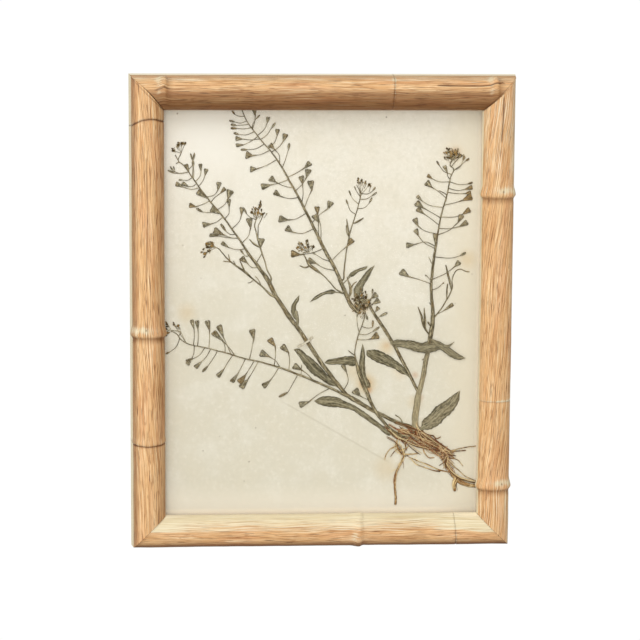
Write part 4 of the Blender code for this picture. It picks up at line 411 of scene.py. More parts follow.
# The crown's rootlets: from the stems' feet over the crown, and last the broad pale end of the main root
CROWN_STRANDS = (
    [(41.5, -69.5, 0.3), (47, -73, 0.3), (53, -77, 0.3), (60, -81.5, 0.3), (66, -85, 0.25), (72, -89, 0.25)],
    [(42, -71.5, 0.25), (46, -76, 0.3), (52, -79, 0.25), (58, -84, 0.25), (62, -87, 0.2)],
    [(45, -68, 0.3), (52, -70.5, 0.3), (60, -74, 0.3), (68, -79, 0.3), (75, -84, 0.3), (80, -87.5, 0.25)],
    [(48, -71, 0.3), (55, -74.5, 0.3), (62, -80, 0.3), (69, -85.5, 0.3), (74.6, -91, 0.3), (76, -96, 0.25)],
    [(57, -70, 0.4), (61, -75, 0.35), (67, -79.4, 0.3), (73, -83.5, 0.3), (79, -88.4, 0.3)],
    [(53, -76, 0.25), (56, -80.5, 0.25), (61, -83, 0.2), (66.5, -83.6, 0.25), (71, -87, 0.2)],
    [(37.7, -67.9, 0.25), (43.2, -73.3, 0.3), (50.9, -81, 0.25), (50.1, -85.6, 0.2)],
    [(40.1, -76.4, 0.2), (45.5, -79.5, 0.25), (49.3, -84.1, 0.2)],
    [(54, -76.4, 0.25), (50.9, -81, 0.25), (51.7, -84.9, 0.2)],
    [(40.1, -71.7, 0.25), (47.8, -77.1, 0.3), (57.1, -81.8, 0.25), (66.3, -84.1, 0.2)],
    [(77, -94, 0.4), (80.4, -99, 0.55), (85.4, -102.8, 0.6), (90.6, -104.6, 0.55), (96, -105.6, 0.5)],
)
THICK_CROWN_STRANDS = 3
# Feet of the stems that the crown's own rootlets come from, and the ball that its hairs tangle around
STEM_FEET = ((48.5, -70.6), (57.6, -68.4), (46.5, -75.0))
ROOT_BALL = (75, -87)
# Where the crown's rootlets are red: x, up, radius, strength
RED_ROOTS = ((58.0, -77.0, 6.5, 0.7), (69.5, -84.0, 8.0, 1.0), (75.0, -88.0, 5.0, 1.0))

# A saw cut: place along the rail, how far its outer end, middle and inner end bow, how deep and dark, how
# wide, and whether the wood swells beside it
Cut = namedtuple("Cut", "place outer middle inner depth width swells")
# A shrinkage crack: places along, places across, darkness
Crack = namedtuple("Crack", "places sides darkness")
# A rail: side on which its rings rise gently, places of the rings, cuts, cracks, pits as (along, across), how
# far its mitres bow, and a number that gives it its own grain
Rail = namedtuple("Rail", "name length gentle rings cuts cracks pits ends seed")
RAILS = (
    Rail("rail_top", OUTER_WIDTH, -1, (-95.1, 102.1), [Cut(41.4, 0.6, 0.0, -0.8, 0.5, 0.26, False)],
         [Crack((-101.0, -98.0, -95.0, -90.6), (8.9, 8.2, 7.2, 7.9), 0.7),
          Crack((66.0, 92.0, 99.0, 106.0, 108.0), (5.7, 5.9, 5.7, 4.0, 5.0), 0.9)],
         [(-94.4, 6.4)], (-2.4, 1.2), 3.0),
    Rail("rail_bottom", OUTER_WIDTH, -1, (22.7,), [Cut(81.4, 0.8, 0.0, -0.8, 0.45, 0.26, False)],
         [], [], (0.8, 0.0), 41.0),
    Rail("rail_left", OUTER_HEIGHT, 1, (-10.9,),
         [Cut(-78.5, 0.8, -0.4, 0.8, 0.75, 0.3, True), Cut(116.8, -4.0, 1.0, -0.6, 0.8, 0.4, False)],
         [Crack((20.0, 60.0, 96.0), (10.0, 11.2, 10.4), 0.45)], [(-7.9, 10.0)], (-0.8, 2.0), 77.0),
    Rail("rail_right", OUTER_HEIGHT, 1, (-105.7, 72.8), [Cut(-53.1, 0.3, 0.2, 0.3, 0.25, 0.4, False)],
         [Crack((104.0, 118.0, 132.4), (10.4, 9.6, 9.4), 0.85)], [(74.9, 8.8), (-103.6, 7.0)],
         (0.0, -1.2), 113.0),
)
# How much the grain leans: place along, slope for the right rail; the slope of the whole left rail
RIGHT_LEAN = ((-150, 0.04), (-110, 0.04), (-92, 0.16), (-78, 0.12), (-60, 0.1), (-30, 0.045), (-9, 0.04),
              (9, 0.06), (27, 0.08), (45, 0.1), (63, 0.14), (99, 0.125), (150, 0.13))
LEFT_LEAN = 0.04

# Stains in the paper: x, up on the sheet, radius in millimetres, strength
PALE = ((-72, 104, 48, 0.75), (-40, 60, 40, 0.3))
HALOES = ((27, -43, 9, 0.8), (20, -35, 10, 0.3), (39, -21, 8, 0.5), (-82, 1, 9, 0.35), (88, 33, 9, 0.4),
          (40, -96, 12, 0.3), (62, -76, 15, 0.35), (23, 5, 10, 0.35), (48, -35, 9, 0.3), (79, 97, 10, 0.3),
          (57, -55, 7, 0.3))
RUST = ((26.6, -42.6, 4.4, 0.85), (28.6, -47, 3.6, 0.65), (24, 5, 6, 0.6), (39.6, -19.4, 3.4, 0.25),
        (57, -38, 3.4, 0.4), (80, 98, 5, 0.35), (60, -52, 4, 0.3))
FOXING = ((-87, 121, 0.7, 0.8), (38, 119, 0.7, 0.8), (-73, 22, 0.6, 0.6), (-84, 42, 0.6, 0.5),
          (-72, -84, 0.6, 0.7), (-44, -91, 0.7, 0.7), (-47, -103, 0.6, 0.5), (-40, -70, 0.6, 0.6),
          (-62, -75, 0.5, 0.5), (-97, -104, 0.9, 0.6), (14, -1, 0.6, 0.8), (91, 24, 0.6, 0.5),
          (81, 6, 0.5, 0.5))
# A faint crease in the paper, from and to on the sheet
CREASE = ((-27, -52), (45, -94))
# The paper strip over the left stem: its ends on the sheet, its width
TAPE_ENDS = ((-14.6, -20.2), (-5.4, -14.2))
TAPE_WIDTH = 1.3


# Small mathematics shared by the pieces

def random_for(name):
    """A random generator for one piece, seeded by the letters of its name, so that each run is the same."""
    return np.random.default_rng(sum(ord(letter) * (place + 3) for place, letter in enumerate(name)))


def wander(place, length, dice):
    """A smooth wandering line: four sines of falling size, the longest as long as given, with random
    phases."""
    total = np.zeros_like(place)
    for number in range(4):
        turn = dice.uniform(0, 2 * math.pi)
        total += np.sin(place * 2 * math.pi * (1.6 ** number) / length + turn) / (1.5 ** number)
    return total / 2.4


def smoothstep(low, high, value):
    """0 below low, 1 above high, between them three times the share squared less two times its cube."""
    share = np.clip((value - low) / (high - low), 0, 1)
    return share * share * (3 - 2 * share)


def hill(distance, width):
    """A bell: e to the power of minus the squared distance over the squared width."""
    return np.exp(-(distance / width) ** 2)


def full_turn(count):
    """Angles once round, as one row."""
    return np.linspace(0, 2 * math.pi, count, endpoint=False)[None, :]


def smooth_path(points, step):
    """Cubic curve through the points (Hermite, slopes from the neighbours), sampled about every step."""
    points = np.asarray(points, float)
    gaps = np.linalg.norm(np.diff(points[:, :2], axis=0), axis=1)
    place = np.concatenate(([0.0], np.cumsum(gaps)))
    slope = np.gradient(points, place, axis=0)
    asked = np.linspace(0, place[-1], max(4, int(place[-1] / step) + 2))
    index = np.clip(np.searchsorted(place, asked, side="right") - 1, 0, len(points) - 2)
    width = (place[index + 1] - place[index])[:, None]
    t = (asked - place[index])[:, None] / width
    return (points[index] * (2 * t ** 3 - 3 * t ** 2 + 1) + slope[index] * width * (t ** 3 - 2 * t ** 2 + t)
            + points[index + 1] * (3 * t ** 2 - 2 * t ** 3) + slope[index + 1] * width * (t ** 3 - t ** 2))


def turned_left(path):
    """Unit vectors square to the path, to its left."""
    way = np.gradient(path[:, :2], axis=0)
    way /= np.maximum(np.linalg.norm(way, axis=1, keepdims=True), 1e-9)
    return np.stack((-way[:, 1], way[:, 0]), axis=1)


def length_along(path):
    """How far along the path each of its points lies: the running sum of its steps' lengths."""
    return np.concatenate(([0.0], np.cumsum(np.linalg.norm(np.diff(path[:, :2], axis=0), axis=1))))


def beside(line, left, across, onward=0.0):
    """x and up of the places that lie this far to the left of a line's points, and this far onward from
    them."""
    return (line[:, axis, None] + left[:, axis, None] * across + ahead[:, None] * onward
            for axis, ahead in ((0, left[:, 1]), (1, -left[:, 0])))


# Surfaces

def closed_tube(rings):
    """Points, four-sided and three-sided faces of a tube: each ring joins the next, and each end closes in a
    pole at the ring's middle. rings is an array of shape (rings, points, 3)."""
    count, around = rings.shape[:2]
    poles = np.stack((rings[0].mean(axis=0), rings[-1].mean(axis=0)))
    points = np.concatenate((rings.reshape(-1, 3), poles))
    number = np.arange(count * around).reshape(count, around)
    beside_it = np.roll(number, -1, axis=1)
    quads = np.stack((number[:-1], beside_it[:-1], beside_it[1:], number[1:]), axis=-1).reshape(-1, 4)
    start = np.full(around, count * around)
    caps = np.concatenate((np.stack((beside_it[0], number[0], start), axis=-1),
                           np.stack((number[-1], beside_it[-1], start + 1), axis=-1)))
    return points, quads, caps


def facing_out(points, quads, caps):
    """The faces, turned round if the volume that they enclose comes out negative."""
    corners = np.concatenate((quads[:, :3], quads[:, [0, 2, 3]], caps))
    a, b, c = (points[corners[:, column]] for column in range(3))
    if np.einsum("ij,ij->", a, np.cross(b, c)) < 0:
        return quads[:, ::-1], caps[:, ::-1]
    return quads, caps


def with_poles(values):
    """Values on rings, one number for each point, with the mean of the first and last ring for the two
    poles."""
    return np.concatenate((values.reshape(-1), [values[0].mean(), values[-1].mean()]))


def piece(name, parts, coat, node):
    """One mesh object of several closed parts, each (rings in millimetres in the row's frame, marks by name).
    It rides on the frame and stands for a node."""
    points, faces, values = [], [], {}
    count = 0
    for rings, marks in parts:
        part_points, quads, caps = closed_tube(rings)
        quads, caps = facing_out(part_points - part_points.mean(axis=0), quads, caps)
        points.append(part_points)
        faces += (quads + count).tolist() + (caps + count).tolist()
        for key, grid in marks.items():
            values.setdefault(key, []).append(with_poles(grid))
        count += len(part_points)
    mesh = bpy.data.meshes.new(name)
    mesh.from_pydata((np.concatenate(points) * MM).tolist(), [], faces)
    mesh.update()
    keep_marks(mesh, {key: np.concatenate(lists) for key, lists in values.items()})
    mesh.shade_smooth()
    mesh.materials.append(coat)
    thing = bpy.data.objects.new(name, mesh)
    bpy.context.scene.collection.objects.link(thing)
    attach(thing, "root")
    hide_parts(node)
    return thing


def keep_marks(mesh, values):
    """The fibre directions as one vector on each point, the other values as one number each."""
    fibre = np.stack([values.pop(key) for key in ("along", "around", "seed")], axis=-1)
    directions = mesh.attributes.new("fibre", "FLOAT_VECTOR", "POINT")
    directions.data.foreach_set("vector", fibre.ravel().astype("f"))
    for key, numbers in values.items():
        mesh.attributes.new(key, "FLOAT", "POINT").data.foreach_set("value", numbers.astype("f"))


def on_sheet(x, up, height):
    """Sheet millimetres to the row's frame, still in millimetres."""
    return np.stack((x, -PAPER_FRONT - height, up + SHEET_UP + CENTRE_Z), axis=-1)


# Frame rails

def moulding():
    """The moulding's section as rows of (across, depth, share of a ring's rise across, share of it forward):
    a splayed outer side, half an ellipse as the round, the lip, the rebate and the back, corners just
    eased."""
    spring = RAIL_DEPTH - HALF_ROUND_HEIGHT
    middle = (SIDE_SPLAY + RAIL_WIDTH) / 2
    half = (RAIL_WIDTH - SIDE_SPLAY) / 2
    inner = RAIL_WIDTH - REBATE_WIDTH
    rise = np.linspace(0.35, spring, 14)[:-1]
    side = np.stack((SIDE_SPLAY * rise / spring, rise, -smoothstep(9.0, spring, rise), 0 * rise), axis=-1)
    turn = np.linspace(math.pi, 0, 76)
    front = np.stack((middle + half * np.cos(turn), spring + HALF_ROUND_HEIGHT * np.sin(turn), np.cos(turn),
                      np.sin(turn)), axis=-1)
    back = [(RAIL_WIDTH, spring - 0.9, 0.8, 0), (RAIL_WIDTH, REBATE_DEPTH + 0.15, 0.6, 0),
            (RAIL_WIDTH - 0.15, REBATE_DEPTH, 0.5, 0), (18, REBATE_DEPTH, 0, 0), (inner, REBATE_DEPTH, 0, 0),
            (inner, 8, 0, 0), (inner, 4, 0, 0), (inner, 0.3, 0, 0), (inner - 0.3, 0, 0, 0), (10, 0, 0, 0),
            (5, 0, 0, 0), (0.35, 0, 0, 0)]
    return np.concatenate((side, front, np.array(back, float)))


def stations(rail):
    """Shares of the half length from -1 to 1, packed three times as close where a ring or cut is."""
    fine = np.linspace(-1, 1, 4001)
    density = np.ones_like(fine)
    half = rail.length / 2
    margin = 6 / half
    for place in (*rail.rings, *(cut.place for cut in rail.cuts)):
        low, high = sorted((place / half, place / (half - RAIL_WIDTH)))
        density[(fine > low - margin) & (fine < high + margin)] = 3.0
    share = np.concatenate(([0.0], np.cumsum((density[1:] + density[:-1]) / 2)))
    return np.interp(np.linspace(0, share[-1], 620), share, fine)


def ring_marks(rail, ring, along, width, ragged, ribs, raised):
    """A ring rises over 6.5 mm on its gentle side, falls over 2.8 mm on the other and ends in a shallow
    valley. It has lime on its gentle side, partly painted light on the lit flank, and a dark line in its
    valley and brown beyond it, painted shadow on the steep side. The top rail's fade inwards."""
    top, bottom = rail.name == "rail_top", rail.name == "rail_bottom"
    distance = (along - ring) * rail.gentle
    fading = 1 - top * (0.15 + 0.75 * smoothstep(0.2, 0.75, width)) - 0.35 * bottom
    place = distance + 0.3 * ragged
    crest = np.cos(np.clip(place / np.where(place > 0, 6.5, 2.8), -1, 1) * math.pi / 2) ** 2.4
    relief = (RING_RISE * crest - 0.14 * hill(place + 3.2, 1.1)) * fading * (1 + 0.12 * ribs)
    across_ring = 1 - (0.5 + 0.3 * top) * np.abs(2 * width - (1.55 if bottom else 0.85)) ** 1.5
    # Lime on the gentle flank: partly lime left in the carving, partly painted light where the flank faces
    # the light.
    lime = (0.44 - 0.16 * top) * hill(distance - 2.8 - 0.8 * ragged, 2.8 - 0.8 * top) * across_ring
    lime += bottom * 0.6 * hill(distance + 0.8, 1.7) * smoothstep(0.45, 0.8, width)
    # Painted shadow: the dark line in the valley and the brown past it stand for the shadow on the ring's
    # steep side.
    dark = 0.3 * hill(distance + 2.2 + 0.3 * ragged, 0.4) * (0.5 + 0.5 * ragged) * fading * raised
    steep_side_shadow = smoothstep(-6.5, -2.2, distance) * (1 - smoothstep(-2.0, -0.6, distance))
    return {"relief": relief, "lime": lime, "dark": dark, "brown": (0.25 if bottom else 0.6) * steep_side_shadow * fading}


def cut_marks(rail, cut, along, width, ragged):
    """A saw cut runs along a parabola through its outer end, middle and inner end: a dark groove, lime and
    waxed brown beside it, and the wood beside some of them swollen."""
    place = 2 * width - 1
    bow = cut.middle + (cut.inner - cut.outer) / 2 * place
    bow = bow + ((cut.outer + cut.inner) / 2 - cut.middle) * place ** 2
    distance = along - cut.place - bow - 0.12 * ragged
    lime = (0.25 - 0.2 * cut.depth) * hill(distance - rail.gentle, 0.8)
    lime += 0.5 * (1 - cut.depth) * hill(distance - 0.3, 0.5) + 0.2 * cut.swells * hill(distance - 3.2, 2.6)
    relief = 0.28 * cut.swells * hill(distance - 1.8, 1.7)
    relief = relief - GROOVE_DEPTH * cut.depth * hill(distance, cut.width)
    return {"relief": relief, "lime": lime, "dark": 1.1 * cut.depth * hill(distance, cut.width * 0.9),
            "brown": 0.8 * cut.depth * hill(distance, 0.8)}


def crack_marks(crack, along, across, front):
    """A shrinkage crack: a thin dark groove along the grain that tapers off over 2 mm at both ends."""
    first, last = crack.places[0], crack.places[-1]
    inside = smoothstep(first, first + 2, along) * (1 - smoothstep(last - 2, last, along)) * crack.darkness
    distance = across - np.interp(along, crack.places, crack.sides)
    return {"relief": -0.25 * inside * hill(distance, 0.3),
            "dark": 1.2 * inside * hill(distance, 0.4) * front}


def pit_marks(pit, along, across, front):
    """A small pit: an oval dark dent."""
    away = np.hypot((along - pit[0]) / 0.9, (across - pit[1]) / 0.55)
    return {"relief": -0.35 * hill(away, 1.0), "dark": 0.9 * hill(away, 0.8) * front}


def rail_part(rail, to_row):
    """The rail as rings of the moulding, its ends cut at 45 degrees with a slight bow, and the marks on
    it."""
    across, depth, rise_across, rise_forward = (column[None, :] for column in moulding().T)
    dice = random_for(rail.name)
    ragged, ribs = (wander(across[0], length, dice)[None, :] for length in (7.0, 1.8))
    half = rail.length / 2
    share = stations(rail)[:, None]
    end_bow = np.where(share < 0, *rail.ends) * np.sin(math.pi * np.clip(across / RAIL_WIDTH, 0, 1))
    along = share * (half - across - MITRE_GAP + end_bow * np.abs(share) ** 12)
    width = np.broadcast_to(across / RAIL_WIDTH, along.shape)
    front = np.broadcast_to(rise_forward > 0, along.shape).astype(float)
    raised = np.minimum(1, np.hypot(rise_across, rise_forward))
    found = [ring_marks(rail, ring, along, width, ragged, ribs, raised) for ring in rail.rings]
    found += [cut_marks(rail, cut, along, width, ragged) for cut in rail.cuts]
    found += [crack_marks(crack, along, across, front) for crack in rail.cracks]
    found += [pit_marks(pit, along, across, front) for pit in rail.pits]
    relief, lime, dark, brown = (sum(marks.get(key, 0.0) for marks in found)
                                 for key in ("relief", "lime", "dark", "brown"))
    unevenness = wander(along, 90.0, dice) * 0.10 + wander(along + 7 * width, 31.0, dice) * 0.05
    relief = relief + (unevenness - 0.1) * front
    from_mitre = half - across - MITRE_GAP - np.abs(along)
    tight = rail.name == "rail_bottom" or (share < 0) & (rail.length == OUTER_HEIGHT)
    shade = np.where(tight, 0.25, 1) * (0.5 + 0.3 * smoothstep(0.3, 1.0, width))
    dark = dark + shade * hill(from_mitre, 0.4) * front
    across_now = across + relief * rise_across
    depth_now = depth + relief * rise_forward
    along = along - np.sign(share) * (across_now - across) * np.abs(share) ** 40
    lime = np.clip(lime, 0, 1) * (front + 0.6 * (rise_across < 0))
    lime, dark, brown = zones(rail, along, width, depth, front, lime, dark, brown * front)
    around = length_along(np.stack((across[0], depth[0]), axis=-1)) + grain_drift(rail, along)
    marks = {"along": along, "around": around, "seed": rail.seed, "lime": lime, "dark": dark, "brown": brown}
    return to_row(along, across_now, depth_now), {key: np.broadcast_to(value, along.shape)
                                                  for key, value in marks.items()}


def grain_drift(rail, along):
    """How far the grain has drifted across the rail: the left rail's leans two degrees, the right rail's two
    to eight. At the rings of the top and bottom rails it bends outwards."""
    drift = 0.6 * np.sin(along / 37.0 + rail.seed)
    if rail.name == "rail_right":
        places, slopes = np.array(RIGHT_LEAN).T
        total = np.concatenate(([0.0], np.cumsum((slopes[1:] + slopes[:-1]) / 2 * np.diff(places))))
        return drift + np.interp(along, places, total)
    if rail.name == "rail_left":
        return drift + LEFT_LEAN * along
    return drift + sum(0.8 * hill(along - ring, 2.4) for ring in rail.rings)


def zones(rail, along, width, depth, front, lime, dark, brown):
    """Finish by place: limed outer sides, limed inner half of the bottom rail, painted shade and light by the
    edges.
    """
    dice = random_for(rail.name + " zones")
    limed_to = 13.2 + 0.3 * wander(along, 40.0, dice)
    outer_side = (width < 0.08) * (1 - smoothstep(-0.9, 0.9, depth - limed_to))
    if rail.name == "rail_top":
        lime = np.maximum(lime, outer_side * (2 - 2 * smoothstep(5.0, 6.4, depth)))
        # Painted light: the top rail's upper quarter is made paler with lime, as if lit from above.
        lime = lime + 0.24 * (1 - smoothstep(0.13, 0.36, width)) * np.maximum(front, depth > 8)
        lime = lime + 0.2 * hill(width - 0.12, 0.045) * front
        dark = dark + 0.5 * hill(depth - 6.8, 0.8) * outer_side
        # Painted shade: the top rail's part below the crest is darkened and browned, as if turned away from
        # the light above.
        dark = dark + 0.3 * smoothstep(0.62, 0.73, width) * (1 - smoothstep(0.9, 0.98, width)) * front
        brown = brown + (0.86 * smoothstep(0.3, 0.56, width) + 0.15 * smoothstep(0.7, 0.85, width)) * front
        return lime, dark, brown
    lime = np.maximum(lime, 1.3 * outer_side)
    if rail.name == "rail_bottom":
        boundary = 0.57 + 0.02 * wander(along, 60.0, dice) - 0.07 * smoothstep(82, 100, along)
        corner = smoothstep(70, 92, np.abs(along + 6))
        chalky = 0.46 + 0.36 * smoothstep(0.55, 1.0, width) + 0.3 * corner
        limed = np.maximum(front, width > 0.97)
        lime = np.maximum(lime, chalky * smoothstep(-0.015, 0.03, width - boundary) * limed)
        # Painted light: lime on the lip by the paper, against the shade in the corner between paper and lip.
        lime = lime + 0.5 * smoothstep(0.9, 1.0, width) * limed
        # Painted shade: the bottom rail's lower outer edge is darkened and browned, as if turned away from
        # the light.
        dark = dark + 0.75 * (1 - smoothstep(0.085, 0.22, width)) * front
        brown = brown + 0.9 * (1 - smoothstep(0.14, 0.34, width)) * front
    if rail.name == "rail_left":
        lime = lime + 0.14 * smoothstep(84, 104, along) * front
        dark = dark + 0.2 * hill(width - 0.14, 0.035) * front
        # Painted shade: both long edges of the left rail are browned, as if turned away from the light.
        by_edges = 0.45 * smoothstep(0.6, 0.9, width) + 0.55 * (1 - smoothstep(0.12, 0.3, width))
        brown = brown + by_edges * front
    if rail.name == "rail_right":
        paler = 0.34 * smoothstep(76, 92, along) + 0.26 * smoothstep(-104, -114, along)
        # The lime towards the right rail's ends is its own; the extra lime on its outer edge and the
        # near-white lime on its inner lip are painted light.
        lime = lime + (paler + 0.25 * (1 - smoothstep(0.08, 0.25, width))) * front
        lime = lime + 1.3 * smoothstep(0.98, 1.0, width) * np.maximum(front, width > 0.98)
    return lime, dark, brown


def make_rails(oak):
    """The four rails: along, across and depth are turned into the row's x, y and z for each side."""
    half_width = OUTER_WIDTH / 2
    half_height = OUTER_HEIGHT / 2
    placing = {
        "rail_top": lambda s, a, d: np.stack((s, -d, CENTRE_Z + half_height - a), axis=-1),
        "rail_bottom": lambda s, a, d: np.stack((s, -d, CENTRE_Z - half_height + a), axis=-1),
        "rail_left": lambda s, a, d: np.stack((a - half_width, -d, CENTRE_Z + s), axis=-1),
        "rail_right": lambda s, a, d: np.stack((half_width - a, -d, CENTRE_Z + s), axis=-1),
    }
    for rail in RAILS:
        thing = piece("carved_" + rail.name, [rail_part(rail, placing[rail.name])], oak, rail.name)
        thing.data.set_sharp_from_angle(angle=math.radians(50))


# Plant

def level_of(level):
    """The dried plant lies closer to the paper than its solids' middles do."""
    return LOWEST + (level - LEVEL_LEAF) * PRESSED_DOWN


def marks_on(grid, along, dice, **others):
    """The marks of one part, spread over its grid of places across the part: how far along and around its
    fibres run, a number of its own, and what else colours it."""
    marks = {"along": along[:, None], "around": grid, "seed": dice.uniform(0, 90), "tint": 0.0, "warm": 0.0}
    marks.update(others)
    return {key: np.broadcast_to(value, grid.shape) for key, value in marks.items()}


def stem_part(path, level, dice, tint=0.0, around=12, step=0.7, ribs=0.06):
    """A pressed stem: an ellipse carried along the smoothed path, half as wide as the path says and flatter,
    with five ribs along it and a slightly uneven width."""
    line = smooth_path(path, step)
    place = length_along(line)
    left = turned_left(line)
    half = np.maximum(line[:, 2], 0.12) * (0.72 + 0.28 * smoothstep(0.45, 1.0, line[:, 2]))
    half *= 1 + 0.07 * wander(place, 9.0, dice)
    half[0] *= 0.7
    half[-1] *= 0.5
    bend = wander(place, 16.0, dice) * 0.12
    bend = bend * np.minimum(1, place / 4) * np.minimum(1, (place[-1] - place) / 4)
    turn = full_turn(around)
    ribbed = 1 + ribs * np.cos(5 * turn + place[:, None] * 0.05)
    across = half[:, None] * np.cos(turn) * ribbed
    thick = np.minimum(0.4, 0.5 * half)[:, None] * np.sin(turn) * ribbed
    rings = on_sheet(*beside(line[:, :2] + left * bend[:, None], left, across), level + thick)
    return rings, marks_on(across, place, dice, tint=tint, rim=np.abs(np.cos(turn)))


def pod_part(pod, foot, level, dice):
    """Stalk and pod in one skin: a thin tube that widens at the neck into a flat wedge with round shoulders,
    a shallow notch at the broad end and a rib down its middle. A narrow pod is a plain spindle."""
    bend, neck, end = (np.array(point, float) for point in (pod.bend, pod.neck, pod.end))
    wide = pod.width > NARROW_POD
    stalk = smooth_path(np.array([foot, bend, neck]), 0.8)[:, :2]
    share = np.linspace(0, 1, 15 if wide else 10)[1:]
    line = np.concatenate((stalk, neck + (end - neck) * share[:, None]))
    run = np.linspace(0, 1, len(stalk))
    stalk_half = STALK * (1.25 - 0.45 * run ** 0.5)
    if wide:
        body = pod.width / 2 * (0.20 + 0.94 * share ** 0.9 - 0.10 * share ** 7)
        puff = 0.18 + 0.16 * np.sin(math.pi * share ** 0.8)
        stalk_half = stalk_half + (0.10 * pod.width - 0.8 * STALK) * smoothstep(0.7, 1.0, run)
    else:
        body = pod.width / 2 * np.sin(math.pi * (0.12 + 0.80 * share)) ** 0.7 * (0.55 + 0.45 * share)
        puff = 0.5 * body
    half = np.concatenate((stalk_half, np.maximum(body, STALK * 0.6)))[:, None]
    thick = np.concatenate((stalk_half * 0.7, np.maximum(puff, 0.1)))[:, None]
    on_pod, late, broad_end = (np.append(np.zeros(len(stalk)), values)[:, None] for values in (
        np.ones(len(share)), smoothstep(0.45, 1.0, share), smoothstep(0.86, 1.0, share)))
    turn = full_turn(14)
    u = np.cos(turn)
    across = half * u
    height = thick * np.sin(turn) * (1 + 0.35 * hill(u, 0.25))
    onward = 0.0
    if wide:
        notch = 0.05 - 0.13 * np.abs(u) ** 6 - 0.09 * hill(u, 0.22) + dice.uniform(-0.04, 0.04) * u
        onward = late * np.linalg.norm(end - neck) * notch
        height[-1] *= 0.35
        across[-1] *= 0.97
    warm = 0.55 if dice.uniform() < 0.14 else 0.0
    warm = max(warm, 0.9 * hill(np.linalg.norm(end - BROWNED_PODS), 11.0))
    rings = on_sheet(*beside(line, turned_left(line), across, onward), level + height)
    return rings, marks_on(across, length_along(line), dice, tint=on_pod, warm=warm * on_pod,
                           rim=np.maximum(np.abs(u), broad_end))


def bud_part(start, end, width, level, dice, shades):
    """A bud on its little stalk: a thin tube that swells into a rounded club over its last two widths. shades
    says how brown, how pale and how dark-edged the club is."""
    middle = np.array(start) * 0.45 + np.array(end) * 0.55 + dice.uniform(-0.3, 0.3, 2)
    line = smooth_path(np.array([start, middle, end]), 0.33)[:, :2]
    place = length_along(line)
    from_end = (place[-1] - place) / width
    rounded = np.sqrt(np.clip(1.02 - (1 - np.minimum(2 * from_end, 1)) ** 2, 0, 1))
    club = (1 - smoothstep(0.7, 1.9, from_end)) * rounded
    half = (0.13 + (width / 2 - 0.13) * club)[:, None]
    club = club[:, None]
    turn = full_turn(8)
    across = half * np.cos(turn)
    warm, vein, rim = shades
    rings = on_sheet(*beside(line, turned_left(line), across), level + 0.5 * half * np.sin(turn))
    return rings, marks_on(across, place, dice, tint=club, warm=warm * club, vein=vein * club,
                           rim=np.maximum(rim * club, 0.5 * np.abs(np.cos(turn))))


def head_parts(base, head, level, dice):
    """A flower head: for each given end a club on its stalk from the head's base, and a few small round buds
    scattered about it, dark, brown, or pale where petals dried. A head of many ends is denser."""
    parts = []
    for x, up, width in head.ends:
        end = np.array((x, up))
        parts.append(bud_part(base, end, width * 0.75, level, dice, (DARK_BUD, OCHRE_BUD)[dice.integers(2)]))
        for _ in range(5 if len(head.ends) > 8 else 3):
            aside = end + dice.normal(0, 0.6 * width, 2)
            back = (base - end) / max(np.linalg.norm(base - end), 0.1) + dice.normal(0, 0.4, 2)
            start = aside + back * dice.uniform(1.2, 3.2)
            shades = (DARK_BUD, DARK_BUD, OCHRE_BUD, PETAL)[dice.integers(4)]
            parts.append(bud_part(start, aside, dice.uniform(0.55, 1.05), level + dice.uniform(-0.05, 0.25),
                                  dice, shades))
    return parts


def nearest_on_paths(point, paths):
    """The point of the centre lines that lies nearest to the given one."""
    lines = np.concatenate([smooth_path(path, 0.5)[:, :2] for path in paths])
    return lines[np.linalg.norm(lines - point[:2], axis=1).argmin()]


def branch_piece(branch, coat, slot):
    """One stem or root with everything that grows on it. A root's own core is thin, hidden in its
    rootlets."""
    dice = random_for(branch.name)
    level = level_of(branch.level)
    rooty = slot == "root"
    path = np.array(branch.start + branch.path + branch.tip, float)
    if rooty:
        path[:, 2] *= np.interp(range(len(path)), (0, len(path) - 6, len(path) - 3), (0.3, 0.35, 1))
    parts = [stem_part(path, level - 0.15 * rooty, dice, 0.8 * rooty)]
    paths = [branch.path]
    for twig in branch.twigs:
        x, up = nearest_on_paths(twig[0], paths)
        paths.append([(x, up, twig[0][2])] + twig[1:])
        parts.append(stem_part(paths[-1], level + 0.03, dice, around=10, step=0.6))
    for number, pod in enumerate(branch.pods):
        foot = nearest_on_paths(pod.foot, paths)
        parts.append(pod_part(pod, foot, level + 0.04 * (number % 5 - 2), dice))
    for head in branch.heads:
        parts += head_parts(nearest_on_paths(head.base, paths), head, level, dice)
    if rooty:
        parts += root_strands(branch, level, dice)
    for rings, marks in parts:
        colour_by_place(branch.name, rings[..., 0], rings[..., 2] - CENTRE_Z, marks)
    return piece(branch.name + "_dried", parts, coat, branch.name)


def colour_by_place(name, x, up, marks):
    """The right stem is straw-coloured towards its foot, knots are dark, and the middle of the crown is
    red."""
    straw = 0.85 * smoothstep(-20, -48, up) * (name == "stem_right")
    marks.setdefault("vein", straw * (1 - marks["tint"]))
    up = up - SHEET_UP
    for knot_x, knot_up, radius in KNOTS:
        marks["rim"] = np.maximum(marks["rim"], 1.5 * hill(np.hypot(x - knot_x, up - knot_up), radius))
    if name == "root_crown":
        red = np.max([strength * hill(np.hypot(x - red_x, up - red_up), radius)
                      for red_x, red_up, radius, strength in RED_ROOTS], axis=0)
        marks["warm"] = np.maximum(marks["warm"], 0.95 * red)
        marks["vein"] = marks["vein"] * (1 - 0.6 * red)


def strand_part(path, level, dice, kinds=("vein", "warm", "warm", "warm", "rim", "rim")):
    """One rootlet, pale, brown, red-brown or dark."""
    kind = dice.choice(kinds)
    pale, dark = kind == "vein", kind == "rim"
    path = np.array(path) * (1, 1, 0.9 if pale else 1.15 if dark else 1.0)
    rings, marks = stem_part(path, level + 0.2 * pale, dice, around=8, step=0.9, ribs=0.0)
    marks["rim"] = marks["rim"] * (0.3 if pale else 0.6)
    marks[kind] = np.full(rings.shape[:2], 1.0 if dark else dice.uniform(0.6, 1.0))
    return rings, marks


